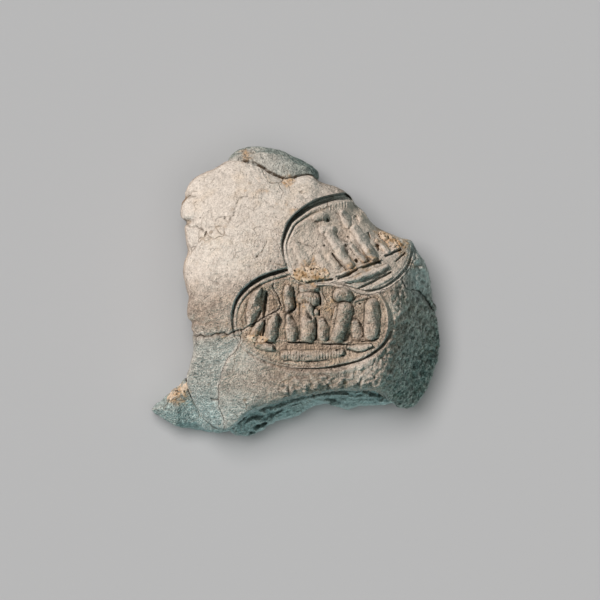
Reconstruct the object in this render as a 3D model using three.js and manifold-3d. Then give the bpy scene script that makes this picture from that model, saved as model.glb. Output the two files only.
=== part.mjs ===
// A clay bulla: a hand-pressed lump that sealed a tied package, stamped twice with one oval seal.
// It is built as it comes apart on a bench: a flat wad that lay against the package, the inner
// core round the string's tunnel, four pieces of stamped jacket that meet along the old breaks,
// a lap of clay folded over the top edge, a spur squeezed out at one corner, and burial crusts.
// Millimetres. +Z is the way the stamped face looks, +Y is the top of the seals, and the origin
// is on the flat bed, under the middle of the bulla.
import * as THREE from "three";
import { mergeVertices } from "three/addons/utils/BufferGeometryUtils.js";
import Module from "manifold-3d";

const wasm = await Module();
wasm.setup();

// Overall size. Outlines and places are shares of the width and length, from the lump's middle.
const LUMP_WIDTH = 32;
const LUMP_LENGTH = 32;
const LUMP_THICKNESS = 16;

// Layers and joints.
const RIM_HEIGHT = 6; // where the jacket is widest, above the bed
const WAD_THICKNESS = 4.2;
const JOINT_GAP = 0.3; // between two pieces that once were one
const OVERRUN = 2; // how far a cutting tool runs past what it cuts

// The seal. Its face is an oval with a border line inside.
const SEAL_LENGTH = 17.8;
const SEAL_WIDTH = 11.8;
const BORDER_INSET = 0.5; // from the wall to the border line
const BORDER_WIDTH = 0.4;
const BORDER_RISE = 0.35;
const GROUND_LINE_WIDTH = 0.4;
const RUNG_WIDTH = 0.35;
const FIGURE_RISE = 0.6;
const FIGURE_SINK = 0.3; // how far a figure is rooted under the floor

// The two impressions: how deep they are, where their middles lie, and how much of the seal's
// length and width shows. The second one wraps a slope, so it looks smaller from the front.
const FIRST_STAMP_SHARES = { at: [0.058, -0.096], length: 1, width: 1, degrees: 0 };
const SECOND_STAMP_SHARES = { at: [0.18, 0.156], length: 0.86, width: 0.92, degrees: 24 };
const FIRST_DEPTH = 0.8;
const SECOND_DEPTH = 0.6;
const SETTLING = 0.02; // how much deeper the second one sinks where it meets the first
const EDGE_LIP = 0.5; // how much of the lump's edge a stamp leaves standing

// The string's tunnel through the core, the folds of the core, and the string's print in the bed.
const STRING_DIAMETER = 1.2;
const FOLD_DIAMETER = 1.7;
const PRINT_DIAMETER = 1.6;

// The core, the lap and the spur: their heights over the bed.
const CORE_LEVEL = 7.6;
const CORE_RIM_HEIGHT = 4.4;
const LAP_LEVEL = 8.7;
const LAP_RIM_HEIGHT = 4.6;
const SPUR_LEVEL = 5.6;
const SPUR_RIM_HEIGHT = 3;

// Burial crusts, over and under the face that they sit on.
const CRUST_RISE = 0.35;
const CRUST_SINK = 0.5;

// The jacket's outline, anticlockwise from the right edge, and its heart.
const JACKET_OUTLINE_SHARES = [
  [0.5, -0.17], [0.485, -0.08], [0.465, 0], [0.46, 0.05], [0.445, 0.1], [0.42, 0.14],
  [0.4, 0.175], [0.36, 0.185], [0.31, 0.205], [0.28, 0.22], [0.255, 0.245], [0.235, 0.275],
  [0.205, 0.3], [0.185, 0.33], [0.14, 0.36], [0.085, 0.375], [0.055, 0.4], [0.01, 0.4],
  [-0.03, 0.39], [-0.08, 0.41], [-0.125, 0.437], [-0.18, 0.45], [-0.235, 0.445], [-0.28, 0.42],
  [-0.32, 0.405], [-0.36, 0.38], [-0.385, 0.33], [-0.395, 0.27], [-0.382, 0.22], [-0.376, 0.15],
  [-0.384, 0.07], [-0.37, 0], [-0.37, -0.09], [-0.352, -0.14], [-0.353, -0.21], [-0.375, -0.27],
  [-0.373, -0.325], [-0.345, -0.385], [-0.31, -0.438], [-0.26, -0.472], [-0.22, -0.465],
  [-0.165, -0.415], [-0.1, -0.387], [0, -0.358], [0.1, -0.345], [0.2, -0.338], [0.28, -0.34],
  [0.32, -0.37], [0.36, -0.395], [0.41, -0.39], [0.445, -0.335], [0.48, -0.26],
];
const JACKET_HEART_SHARES = [0.05, -0.02];

// How high the stamped face stands, as shares of the thickness, on an even grid over the lump:
// rows from the top edge to the bottom edge, each from the left edge to the right edge.
const FACE_HEIGHT_SHARES = [
  [0.42, 0.48, 0.54, 0.5, 0.4, 0.3],
  [0.53, 0.7, 0.79, 0.79, 0.62, 0.34],
  [0.64, 0.82, 0.92, 0.93, 0.82, 0.42],
  [0.66, 0.83, 0.96, 1.0, 0.89, 0.4],
  [0.47, 0.68, 0.86, 0.92, 0.8, 0.34],
  [0.31, 0.48, 0.67, 0.73, 0.6, 0.25],
];

// The section of a lump: how far out each ring reaches, as a share of the way from the heart to
// the outline. Under the rim each ring also has a height, as a share of the rim's; over the rim
// the rings climb a dome.
const BED_RING_SHARES = [[0.82, 0], [0.91, 0.1], [0.97, 0.42]];
const DOME_RING_SHARES = [1, 0.98, 0.94, 0.86, 0.72, 0.52, 0.28];

// The break that crosses the face: in at the left edge as far as the cheek's fork, along the
// lower edge of the second impression to the shoulder's fork, and out past its right end.
const LEFT_BREAK_SHARES = [
  [-0.6, -0.16], [-0.36, -0.15], [-0.3, -0.152], [-0.265, -0.146], [-0.243, -0.14],
  [-0.233, -0.148], [-0.185, -0.132],
];
const FACE_BREAK_SHARES = [
  [-0.15, -0.112], [-0.115, -0.093], [-0.085, -0.082], [-0.06, -0.07], [-0.047, -0.045],
  [-0.06, -0.015], [-0.078, 0.012], [-0.075, 0.05], [-0.045, 0.07], [-0.02, 0.055],
  [0.01, 0.03], [0.07, 0.027], [0.12, 0.032], [0.17, 0.02], [0.21, -0.008], [0.25, -0.012],
  [0.29, -0.002], [0.33, 0.02], [0.365, 0.045],
];
const SHOULDER_SEAM_SHARES = [[0.392, 0.075], [0.408, 0.11], [0.413, 0.15], [0.42, 0.26]];
// From the shoulder's fork down over the right flank.
const FLANK_CRACK_SHARES = [
  [0.37, 0.015], [0.39, 0.004], [0.425, 0], [0.447, -0.025], [0.47, -0.06], [0.6, -0.19],
];
// Where the front lobe laps over the left cheek, from its fork down to the bottom edge.
const CHEEK_SEAM_SHARES = [
  [-0.19, -0.17], [-0.205, -0.198], [-0.235, -0.235], [-0.25, -0.27], [-0.256, -0.3],
  [-0.268, -0.33], [-0.266, -0.37], [-0.257, -0.41], [-0.247, -0.45], [-0.235, -0.6],
];
// Corners well clear of the lump, anticlockwise from the lower left.
const FAR_CORNER_SHARES = [[-0.6, -0.6], [0.6, -0.6], [0.6, 0.6], [-0.6, 0.6]];

// The small forms: outline, heart, rim, level at the heart, and how steeply the top climbs
// towards +Y. First the core under the arch of the lower edge.
const CORE_SHAPE = {
  outlineShares: [
    [0.315, -0.37], [0.32, -0.3], [0.2, -0.265], [0.05, -0.275], [-0.08, -0.31], [-0.17, -0.36],
    [-0.23, -0.43], [-0.225, -0.488], [-0.165, -0.5], [-0.125, -0.487], [-0.09, -0.457],
    [0, -0.43], [0.05, -0.402], [0.1, -0.39], [0.145, -0.387], [0.18, -0.41], [0.215, -0.397],
    [0.26, -0.384],
  ],
  heartShares: [0.03, -0.355],
  rim: CORE_RIM_HEIGHT,
  level: CORE_LEVEL,
  slope: 0.35,
};
// The lap folded over the top edge.
const LAP_SHAPE = {
  outlineShares: [
    [0.072, 0.385], [0.06, 0.42], [0.03, 0.443], [-0.03, 0.472], [-0.09, 0.493], [-0.15, 0.5],
    [-0.19, 0.487], [-0.235, 0.45], [-0.2, 0.4], [-0.1, 0.36], [0.02, 0.34],
  ],
  heartShares: [-0.075, 0.435],
  rim: LAP_RIM_HEIGHT,
  level: LAP_LEVEL,
  slope: -0.55,
};
// The spur at the lower left corner.
const SPUR_SHAPE = {
  outlineShares: [
    [-0.375, -0.3], [-0.398, -0.325], [-0.425, -0.345], [-0.455, -0.37], [-0.49, -0.393],
    [-0.5, -0.412], [-0.465, -0.437], [-0.4, -0.462], [-0.33, -0.477], [-0.26, -0.488],
    [-0.225, -0.47], [-0.25, -0.4], [-0.31, -0.33],
  ],
  heartShares: [-0.385, -0.4],
  rim: SPUR_RIM_HEIGHT,
  level: SPUR_LEVEL,
  slope: 0.3,
};

// The folds along the arch: their path, how far below it each one lies, and their heights as
// shares of the core's level.
const FOLD_PATH_SHARES = [
  [-0.175, -0.435], [-0.11, -0.412], [-0.04, -0.392], [0.04, -0.37], [0.12, -0.355],
  [0.2, -0.352], [0.27, -0.35],
];
const FOLD_DROP_SHARES = [0.001, 0.014, 0.024];
const FOLD_HEIGHT_SHARES = [0.83, 0.6, 0.36];
// The tunnel: places across and along, and heights as shares of the core's level.
const TUNNEL_SHARES = [
  [-0.152, -0.56, 0.42], [-0.15, -0.47, 0.45], [-0.1, -0.405, 0.48], [-0.02, -0.36, 0.5],
  [0.08, -0.33, 0.5], [0.18, -0.325, 0.5], [0.25, -0.35, 0.5], [0.275, -0.45, 0.5],
];

// The seal's device, as shares of its half length and half width: across, up, half breadth, half
// height. Worn robed figures stand in a row on a ground line, with a loaf below at each side.
const FIGURE_SHARES = [
  [-0.66, 0.26, 0.12, 0.25], [-0.69, -0.17, 0.085, 0.17], [-0.5, -0.14, 0.09, 0.25],
  [-0.28, 0.34, 0.08, 0.21], [-0.25, -0.14, 0.08, 0.24], [-0.04, 0.42, 0.12, 0.19],
  [-0.05, -0.08, 0.09, 0.32], [0.14, -0.14, 0.075, 0.23], [0.385, 0.45, 0.115, 0.18],
  [0.365, -0.08, 0.125, 0.36], [0.55, -0.17, 0.08, 0.2], [0.74, 0.03, 0.105, 0.38],
  [-0.62, -0.46, 0.17, 0.1], [0.61, -0.5, 0.15, 0.08],
];
const GROUND_SHARES = { from: -0.42, to: 0.86, up: -0.415 };
const RUNG_ROW_SHARES = { from: -0.34, to: 0.32, up: -0.67, half: 0.08 };
const RUNG_COUNT = 6;

// The prints of two strings in the bed: how far up each one crosses the two sides.
const BED_PRINT_SHARES = [[0.17, 0.09], [-0.16, -0.06]];

// How square the rounded shapes are: 2 is an ellipse, and more is nearer to a box.
const SQUARENESS = { jacket: 5, smallForm: 2.8, seal: 2.3 };

// The crusts: across and up on the lump, half length and half width, as shares of the lump's
// width and length, and turned in degrees.
const STAMP_CRUST_SHARES = { at: [0.045, 0.076], half: [0.055, 0.02], degrees: 5 };
const LOAF_CRUST_SHARES = { at: [-0.12, -0.162], half: [0.042, 0.018], degrees: -12 };
const EDGE_CRUST_SHARES = { at: [0.305, 0.168], half: [0.05, 0.018], degrees: -25 };
const NOTCH_CRUST_SHARES = { at: [-0.03, 0.355], half: [0.032, 0.02], degrees: 60 };
const SPUR_CRUST_SHARES = { at: [-0.405, -0.366], half: [0.036, 0.016], degrees: 38 };
const CRUST_RAGGED_SHARE = 0.12;
const CRUST_WAVE_COUNT = 5;

// Facets.
const JACKET_SPOKE_COUNT = 48;
const SMALL_SPOKE_COUNT = 26;
const OVAL_SIDE_COUNT = 36;
const ROUND_SIDE_COUNT = 8;
const ROD_STEP_COUNT = 12;
const CRUST_SIDE_COUNT = 12;
const FIGURE_SIDE_COUNT = 7;
const FIGURE_ROW_COUNT = 4;

const CLAY_PALE = 0xcdbfae;
const CLAY_WARM = 0xa3937d;
const CLAY_GREY = 0x8f8d80;
const CLAY_GREEN = 0x6f7d73;
const CLAY_DARK = 0x66726a;
const SOIL = 0xb48a5f;
const DULLNESS = 0.95;

const { sin, cos, abs, sign, min, max, floor, PI } = Math;
const { lerp, degToRad } = THREE.MathUtils;
const ORIGIN = new THREE.Vector2();

// A place on the lump, from shares of its width and length.
function place([xShare, yShare]) {
  return new THREE.Vector2(xShare * LUMP_WIDTH, yShare * LUMP_LENGTH);
}

// The same at a height.
function placeAt([xShare, yShare], height) {
  return new THREE.Vector3(xShare * LUMP_WIDTH, yShare * LUMP_LENGTH, height);
}

// A closed geometry as a solid for cutting and joining.
function solidOf(geometry) {
  const bare = geometry.clone();
  bare.deleteAttribute("normal");
  bare.deleteAttribute("uv");
  const merged = mergeVertices(bare);
  const vertProperties = merged.attributes.position.array;
  const triVerts = new Uint32Array(merged.index.array);
  return new wasm.Manifold(new wasm.Mesh({ numProp: 3, vertProperties, triVerts }));
}

// A solid back as a geometry.
function geometryOf(solid) {
  const { vertProperties, triVerts, numProp } = solid.getMesh();
  const geometry = new THREE.BufferGeometry();
  geometry.setAttribute("position", new THREE.BufferAttribute(vertProperties, numProp));
  geometry.setIndex(new THREE.BufferAttribute(triVerts, 1));
  geometry.computeVertexNormals();
  return geometry;
}

// A solid moved up, or down by a negative rise.
function lifted(solid, rise) {
  return solid.translate([0, 0, rise]);
}

// All the solids of a list as one.
function joined(solids) {
  return solids.reduce((all, solid) => all.add(solid));
}

// A solid less all the tools of a list.
function cut(solid, ...tools) {
  return tools.reduce((rest, tool) => rest.subtract(tool), solid);
}

// A flat outline stood up from one height to another.
function prism(points, low, high, holes = []) {
  const shape = new THREE.Shape(points);
  shape.holes.push(...holes.map((hole) => new THREE.Path(hole)));
  const geometry = new THREE.ExtrudeGeometry(shape, { depth: high - low, bevelEnabled: false });
  return solidOf(geometry.translate(0, 0, low));
}

// A flat outline stood up past the bed and past the top of the lump.
function throughPrism(points, holes) {
  return prism(points, -OVERRUN, LUMP_THICKNESS + OVERRUN, holes);
}

// A round rod along a curve.
function rod(points, diameter, steps) {
  const section = new THREE.Shape(
    Array.from({ length: ROUND_SIDE_COUNT }, (_, k) => {
      const angle = (2 * PI * k) / ROUND_SIDE_COUNT;
      return new THREE.Vector2(diameter / 2, 0).rotateAround(ORIGIN, angle);
    }),
  );
  const extrudePath = new THREE.CatmullRomCurve3(points);
  return solidOf(new THREE.ExtrudeGeometry(section, { steps, extrudePath, bevelEnabled: false }));
}

// The smooth curve through four even values, a share t of the way from the second to the third.
function catmullRom(a, b, c, d, t) {
  return b + (t * (c - a + t * (2 * a - 5 * b + 4 * c - d + t * (3 * (b - c) + d - a)))) / 2;
}

// The height of the stamped face over a place, before the jacket rounds off at its edge.
function faceHeight(x, y) {
  const rows = FACE_HEIGHT_SHARES;
  const last = rows.length - 1;
  const clamp = (index) => max(0, min(last, index));
  const across = clamp(last * (x / LUMP_WIDTH + 1 / 2));
  const down = clamp(last * (1 / 2 - y / LUMP_LENGTH));
  const column = min(last - 1, floor(across));
  const row = min(last - 1, floor(down));
  const near = [-1, 0, 1, 2];
  const inRow = (r) => near.map((k) => rows[clamp(r)][clamp(column + k)]);
  const heights = near.map((k) => catmullRom(...inRow(row + k), across - column));
  return LUMP_THICKNESS * catmullRom(...heights, down - row);
}

// Even points round a smooth closed outline, moved outwards by grow.
function outlinePoints(outlineShares, spokes, grow) {
  const corners = outlineShares.map((shares) => placeAt(shares, 0));
  const curve = new THREE.CatmullRomCurve3(corners, true, "centripetal");
  const even = Array.from({ length: spokes }, (_, k) => curve.getPointAt(k / spokes));
  const turning = sign(THREE.ShapeUtils.area(even));
  return even.map((p, k) => {
    const ahead = even[(k + 1) % spokes];
    const behind = even[(k + spokes - 1) % spokes];
    const outward = new THREE.Vector2(ahead.y - behind.y, behind.x - ahead.x);
    return outward.setLength(turning * grow).add(p);
  });
}

// A form that pieces are cut from: its edge, the heart inside it, the height of its rim where it
// is widest, and its top over any place. Grown, it is the space that it takes up with its joint
// gap. The small forms take a level at the heart and a slope along +Y for their top.
function jacketForm(grow) {
  const edge = outlinePoints(JACKET_OUTLINE_SHARES, JACKET_SPOKE_COUNT, grow);
  const heart = place(JACKET_HEART_SHARES);
  return { edge, heart, rim: RIM_HEIGHT, top: faceHeight, squareness: SQUARENESS.jacket, grow };
}
function smallForm({ outlineShares, heartShares, rim, level, slope }, grow) {
  const edge = outlinePoints(outlineShares, SMALL_SPOKE_COUNT, grow);
  const heart = place(heartShares);
  const top = (x, y) => level + slope * (y - heart.y);
  return { edge, heart, rim, top, squareness: SQUARENESS.smallForm, grow };
}

// How high the form's surface stands over a place at a reach from its heart, past the rim.
function domeHeight({ rim, top, squareness, grow }, x, y, reach) {
  const dome = (1 - min(1, reach) ** squareness) ** (1 / squareness);
  return rim + (top(x, y) + grow - rim) * dome;
}

// The reach of a place: its share of the way from the heart to the edge.
function reachOf({ edge, heart }, x, y) {
  const p = new THREE.Vector2(x, y).sub(heart);
  const spokes = edge.map((e) => e.clone().sub(heart));
  for (let k = 0; k < spokes.length; k++) {
    const a = spokes[k];
    const b = spokes[(k + 1) % spokes.length];
    const alongA = p.cross(b) / a.cross(b);
    const alongB = p.cross(a) / b.cross(a);
    if (alongA >= 0 && alongB >= 0) {
      return alongA + alongB;
    }
  }
  return 0;
}

// A form as a solid on the bed: narrow at the bed, widest at the rim, domed over the top.
function lump(form) {
  const { edge, heart, rim, grow } = form;
  const count = edge.length;
  const vertices = [heart.x, heart.y, -grow];
  const ring = (reach, heightAt) => {
    for (const p of edge.map((e) => heart.clone().lerp(e, reach))) {
      vertices.push(p.x, p.y, heightAt(p.x, p.y));
    }
  };
  for (const [reach, heightShare] of BED_RING_SHARES) {
    ring(reach, () => heightShare * (rim + grow) - grow);
  }
  for (const reach of DOME_RING_SHARES) {
    ring(reach, (x, y) => domeHeight(form, x, y, reach));
  }
  vertices.push(heart.x, heart.y, domeHeight(form, heart.x, heart.y, 0));

  const rings = BED_RING_SHARES.length + DOME_RING_SHARES.length;
  const summit = 1 + rings * count;
  const triangles = [];
  for (let k = 0; k < count; k++) {
    const next = (k + 1) % count;
    triangles.push(0, 1 + next, 1 + k);
    for (let low = 1; low < summit - count; low += count) {
      const high = low + count;
      triangles.push(low + k, low + next, high + k, low + next, high + next, high + k);
    }
    triangles.push(summit - count + k, summit - count + next, summit);
  }
  const geometry = new THREE.BufferGeometry();
  geometry.setAttribute("position", new THREE.Float32BufferAttribute(vertices, 3));
  geometry.setIndex(triangles);
  return solidOf(geometry);
}

// The open joint along a line: a wall as thick as the gap.
function jointWall(...paths) {
  const path = paths.flat().map(place);
  const last = path.length - 1;
  const side = (offset) =>
    path.map((p, k) => {
      const along = path[min(k + 1, last)].clone().sub(path[max(k - 1, 0)]);
      return new THREE.Vector2(-along.y, along.x).setLength(offset).add(p);
    });
  return throughPrism([...side(-JOINT_GAP / 2), ...side(JOINT_GAP / 2).reverse()]);
}

// Everything over and under the inside of a loop of places.
function region(...paths) {
  return throughPrism(paths.flat().map(place));
}

// An impression of the seal, from its place, its share of the seal and its depth.
function impression({ at, length, width, degrees }, depth) {
  const centre = place(at);
  const turn = degToRad(degrees);
  const halfLength = (SEAL_LENGTH * length) / 2;
  const halfWidth = (SEAL_WIDTH * width) / 2;
  const toLump = (u, v) => new THREE.Vector2(u, v).rotateAround(ORIGIN, turn).add(centre);
  return { turn, halfLength, halfWidth, toLump, depth };
}

// The seal's oval, smaller by an inset.
function ovalPoints({ halfLength, halfWidth, toLump }, inset) {
  const bulge = (value) => sign(value) * abs(value) ** (2 / SQUARENESS.seal);
  return Array.from({ length: OVAL_SIDE_COUNT }, (_, k) => {
    const angle = (2 * PI * k) / OVAL_SIDE_COUNT;
    return toLump(bulge(cos(angle)) * (halfLength - inset), bulge(sin(angle)) * (halfWidth - inset));
  });
}

// A straight bar of the device, from one place to another in shares of the seal's half sizes.
function deviceBar({ halfLength, halfWidth, toLump }, fromShares, toShares, width) {
  const inSeal = ([u, v]) => new THREE.Vector2(u * halfLength, v * halfWidth);
  const from = inSeal(fromShares);
  const to = inSeal(toShares);
  const side = new THREE.Vector2(from.y - to.y, to.x - from.x).setLength(width / 2);
  const ends = [from.clone().sub(side), to.clone().sub(side), to.clone().add(side), from.clone().add(side)];
  return throughPrism(ends.map((p) => toLump(p.x, p.y)));
}

// The device's border line, ground line and row of rungs, stood up past the whole lump.
function deviceLines(mark) {
  const hole = ovalPoints(mark, BORDER_INSET + BORDER_WIDTH);
  const border = throughPrism(ovalPoints(mark, BORDER_INSET), [hole]);
  const ground = GROUND_SHARES;
  const line = deviceBar(mark, [ground.from, ground.up], [ground.to, ground.up], GROUND_LINE_WIDTH);
  const row = RUNG_ROW_SHARES;
  const rungs = Array.from({ length: RUNG_COUNT }, (_, k) => {
    const across = lerp(row.from, row.to, k / (RUNG_COUNT - 1));
    return deviceBar(mark, [across, row.up - row.half], [across, row.up + row.half], RUNG_WIDTH);
  });
  return joined([border, line, ...rungs]);
}

// One worn figure of the device: a knob that follows the floor of the impression.
function figure({ turn, halfLength, halfWidth, toLump, depth }, [u, v, breadthShare, heightShare]) {
  const knob = new THREE.SphereGeometry(1, FIGURE_SIDE_COUNT, FIGURE_ROW_COUNT);
  knob.rotateX(PI / 2);
  knob.scale(breadthShare * halfLength, heightShare * halfWidth, FIGURE_RISE + FIGURE_SINK);
  knob.rotateZ(turn);
  const centre = toLump(u * halfLength, v * halfWidth);
  knob.translate(centre.x, centre.y, -depth - FIGURE_SINK);
  const points = knob.attributes.position;
  for (let k = 0; k < points.count; k++) {
    const [x, y, z] = [points.getX(k), points.getY(k), points.getZ(k)];
    points.setZ(k, z + domeHeight(JACKET, x, y, reachOf(JACKET, x, y)));
  }
  return solidOf(knob);
}

// The clay with the seal stamped in: inside the oval the face drops, and the device stands up
// from the floor. Where the stamp overlaps an earlier one, it presses that one's floor smooth.
function stamped(clay, mark, earlier = mark) {
  const field = outlinePoints(JACKET_OUTLINE_SHARES, JACKET_SPOKE_COUNT, -EDGE_LIP);
  const oval = throughPrism(ovalPoints(mark, 0)).intersect(throughPrism(field));
  const lines = deviceLines(mark).intersect(lifted(wholeLump, BORDER_RISE - mark.depth));
  const figures = FIGURE_SHARES.map((shares) => figure(mark, shares));
  const sunk = joined([lifted(wholeLump, -mark.depth), lines, ...figures]);
  const overlap = throughPrism(ovalPoints(earlier, -JOINT_GAP)).intersect(oval);
  const smoothed = lifted(sunk, -SETTLING).intersect(overlap);
  return clay.add(smoothed).subtract(oval.subtract(sunk));
}

// A burial crust on a face that lies a depth under a form's top, and the pocket that it sits in.
function crust(form, depth, { at, half, degrees }) {
  const [halfLength, halfWidth] = place(half).toArray();
  const outline = (grow) =>
    Array.from({ length: CRUST_SIDE_COUNT }, (_, k) => {
      const angle = (2 * PI * k) / CRUST_SIDE_COUNT;
      const ragged = 1 + CRUST_RAGGED_SHARE * sin(CRUST_WAVE_COUNT * angle);
      const point = new THREE.Vector2(cos(angle) * halfLength, sin(angle) * halfWidth);
      point.setLength(point.length() * ragged + grow);
      return point.rotateAround(ORIGIN, degToRad(degrees)).add(place(at));
    });
  const body = throughPrism(outline(0)).intersect(lifted(form, CRUST_RISE - depth));
  return {
    solid: body.subtract(lifted(form, -CRUST_SINK - depth)),
    pocket: throughPrism(outline(JOINT_GAP)).subtract(lifted(form, -CRUST_SINK - JOINT_GAP - depth)),
  };
}

// The core with its folds, or the seat that it needs when grown by the gap.
function coreBlock(grow) {
  const form = smallForm(CORE_SHAPE, grow);
  const folds = FOLD_DROP_SHARES.map((dropShare, k) => {
    const height = FOLD_HEIGHT_SHARES[k] * CORE_LEVEL;
    const path = FOLD_PATH_SHARES.map(([x, y]) => placeAt([x, y - dropShare], height));
    return rod(path, FOLD_DIAMETER + 2 * grow, ROD_STEP_COUNT);
  });
  return joined([lump(form), ...folds]);
}

// The lump as it was pressed, its two layers, and the space that it takes up with a gap.
const JACKET = jacketForm(0);
const wholeLump = lump(JACKET);
const lumpSpace = lump(jacketForm(JOINT_GAP));
const farCorners = FAR_CORNER_SHARES.map(place);
const wadLayer = prism(farCorners, 0, WAD_THICKNESS);
const jacketLayer = prism(farCorners, WAD_THICKNESS + JOINT_GAP, LUMP_THICKNESS + OVERRUN);

// The core, with the tunnel that the string left.
const coreSeat = coreBlock(JOINT_GAP);
const tunnelPath = TUNNEL_SHARES.map(([x, y, heightShare]) => placeAt([x, y], heightShare * CORE_LEVEL));
const tunnel = rod(tunnelPath, STRING_DIAMETER, ROD_STEP_COUNT);
const core = coreBlock(0).subtract(tunnel);

// The wad against the package, with the strings' prints in its bed.
const prints = BED_PRINT_SHARES.map(([leftShare, rightShare]) => {
  const [[leftEnd], [rightEnd]] = FAR_CORNER_SHARES;
  return rod([placeAt([leftEnd, leftShare], 0), placeAt([rightEnd, rightShare], 0)], PRINT_DIAMETER, 1);
});
const wad = cut(wholeLump.intersect(wadLayer), coreSeat, ...prints);

// The lap and the spur, outside the lump.
const lapLump = lump(smallForm(LAP_SHAPE, 0));
const spurLump = lump(smallForm(SPUR_SHAPE, 0));

// The crusts.
const stampCrust = crust(wholeLump, SECOND_DEPTH, STAMP_CRUST_SHARES);
const edgeCrust = crust(wholeLump, SECOND_DEPTH, EDGE_CRUST_SHARES);
const loafCrust = crust(wholeLump, FIRST_DEPTH, LOAF_CRUST_SHARES);
const notchCrust = crust(wholeLump, 0, NOTCH_CRUST_SHARES);
const spurCrust = crust(spurLump, 0, SPUR_CRUST_SHARES);

// The jacket, stamped twice and parted along its breaks.
const first = impression(FIRST_STAMP_SHARES, FIRST_DEPTH);
const second = impression(SECOND_STAMP_SHARES, SECOND_DEPTH);
const jacket = stamped(stamped(wholeLump, first), second, first).intersect(jacketLayer);
const rightFork = FACE_BREAK_SHARES[FACE_BREAK_SHARES.length - 1];
const leftFork = LEFT_BREAK_SHARES[LEFT_BREAK_SHARES.length - 1];
const parted = cut(
  jacket,
  coreSeat,
  jointWall(LEFT_BREAK_SHARES, FACE_BREAK_SHARES, SHOULDER_SEAM_SHARES),
  jointWall([rightFork], FLANK_CRACK_SHARES),
  jointWall([leftFork], CHEEK_SEAM_SHARES),
);
const [lowerLeft, , upperRight, upperLeft] = FAR_CORNER_SHARES;
const crownSide = region(LEFT_BREAK_SHARES, FACE_BREAK_SHARES, SHOULDER_SEAM_SHARES, [upperRight, upperLeft]);
const shoulderEdge = [rightFork, ...SHOULDER_SEAM_SHARES].reverse();
const shoulderSide = region(FLANK_CRACK_SHARES, [upperRight], shoulderEdge);
const cheekSide = region(LEFT_BREAK_SHARES, CHEEK_SEAM_SHARES, [lowerLeft]);

const bulla = new THREE.Group();
function addPiece(name, solid, color) {
  const material = new THREE.MeshStandardMaterial({ color, roughness: DULLNESS, metalness: 0 });
  const mesh = new THREE.Mesh(geometryOf(solid), material);
  mesh.name = name;
  bulla.add(mesh);
}

const crownPockets = [stampCrust.pocket, edgeCrust.pocket, notchCrust.pocket];
addPiece("crown", cut(parted.intersect(crownSide), ...crownPockets), CLAY_PALE);
addPiece("front_lobe", cut(parted, crownSide, shoulderSide, cheekSide, loafCrust.pocket), CLAY_WARM);
addPiece("left_cheek", parted.intersect(cheekSide), CLAY_GREY);
addPiece("right_shoulder", parted.intersect(shoulderSide), CLAY_DARK);
addPiece("inner_core", core, CLAY_GREEN);
addPiece("back_wad", wad, CLAY_GREY);
addPiece("top_lap", cut(lapLump, lumpSpace), CLAY_DARK);
addPiece("corner_spur", cut(spurLump, lumpSpace, coreSeat, spurCrust.pocket), CLAY_GREEN);
addPiece("crust_second_stamp", stampCrust.solid, SOIL);
addPiece("crust_broken_edge", edgeCrust.solid, SOIL);
addPiece("crust_first_stamp", loafCrust.solid, SOIL);
addPiece("crust_top_notch", notchCrust.solid, SOIL);
addPiece("crust_spur", spurCrust.solid, SOIL);

export default bulla;
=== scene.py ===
# A clay bulla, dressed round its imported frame: a lump of pressed clay with two impressions of one
# oval seal, cracked into its pieces. Pieces are modelled with a millimetre as the unit and brought
# to metres when they are finished. +Z is the way the stamped face looks.
import math

import bmesh
import bpy
import numpy as np
from bpy.props import FloatProperty, FloatVectorProperty, PointerProperty
from mathutils import Matrix, Vector


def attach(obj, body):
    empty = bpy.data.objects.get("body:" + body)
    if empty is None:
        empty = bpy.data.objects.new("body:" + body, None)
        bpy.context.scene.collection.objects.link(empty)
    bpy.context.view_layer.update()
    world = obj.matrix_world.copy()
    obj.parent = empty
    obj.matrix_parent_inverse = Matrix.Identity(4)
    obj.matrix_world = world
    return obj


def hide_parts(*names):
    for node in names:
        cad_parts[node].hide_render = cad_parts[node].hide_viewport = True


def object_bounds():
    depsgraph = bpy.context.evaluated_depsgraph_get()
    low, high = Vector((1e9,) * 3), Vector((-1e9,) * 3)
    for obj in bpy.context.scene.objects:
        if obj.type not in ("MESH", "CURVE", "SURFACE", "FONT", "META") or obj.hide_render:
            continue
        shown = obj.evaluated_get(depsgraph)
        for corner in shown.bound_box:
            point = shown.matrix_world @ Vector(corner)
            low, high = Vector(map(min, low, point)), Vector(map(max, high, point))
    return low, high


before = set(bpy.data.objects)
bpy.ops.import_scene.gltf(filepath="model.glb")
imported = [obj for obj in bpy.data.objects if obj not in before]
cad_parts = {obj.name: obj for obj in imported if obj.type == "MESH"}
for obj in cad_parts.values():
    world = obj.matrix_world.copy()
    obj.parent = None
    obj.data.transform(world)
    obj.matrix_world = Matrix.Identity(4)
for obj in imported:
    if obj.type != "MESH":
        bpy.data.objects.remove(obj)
CAD_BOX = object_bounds()

bl_info = {
    "name": "Clay Bulla",
    "version": (1, 0, 0),
    "blender": (4, 5, 0),
    "location": "3D View > Sidebar > Bulla",
    "description": "Models a cracked clay bulla with two seal impressions",
    "category": "Object",
}

MILLIMETRE = 0.001

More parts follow.
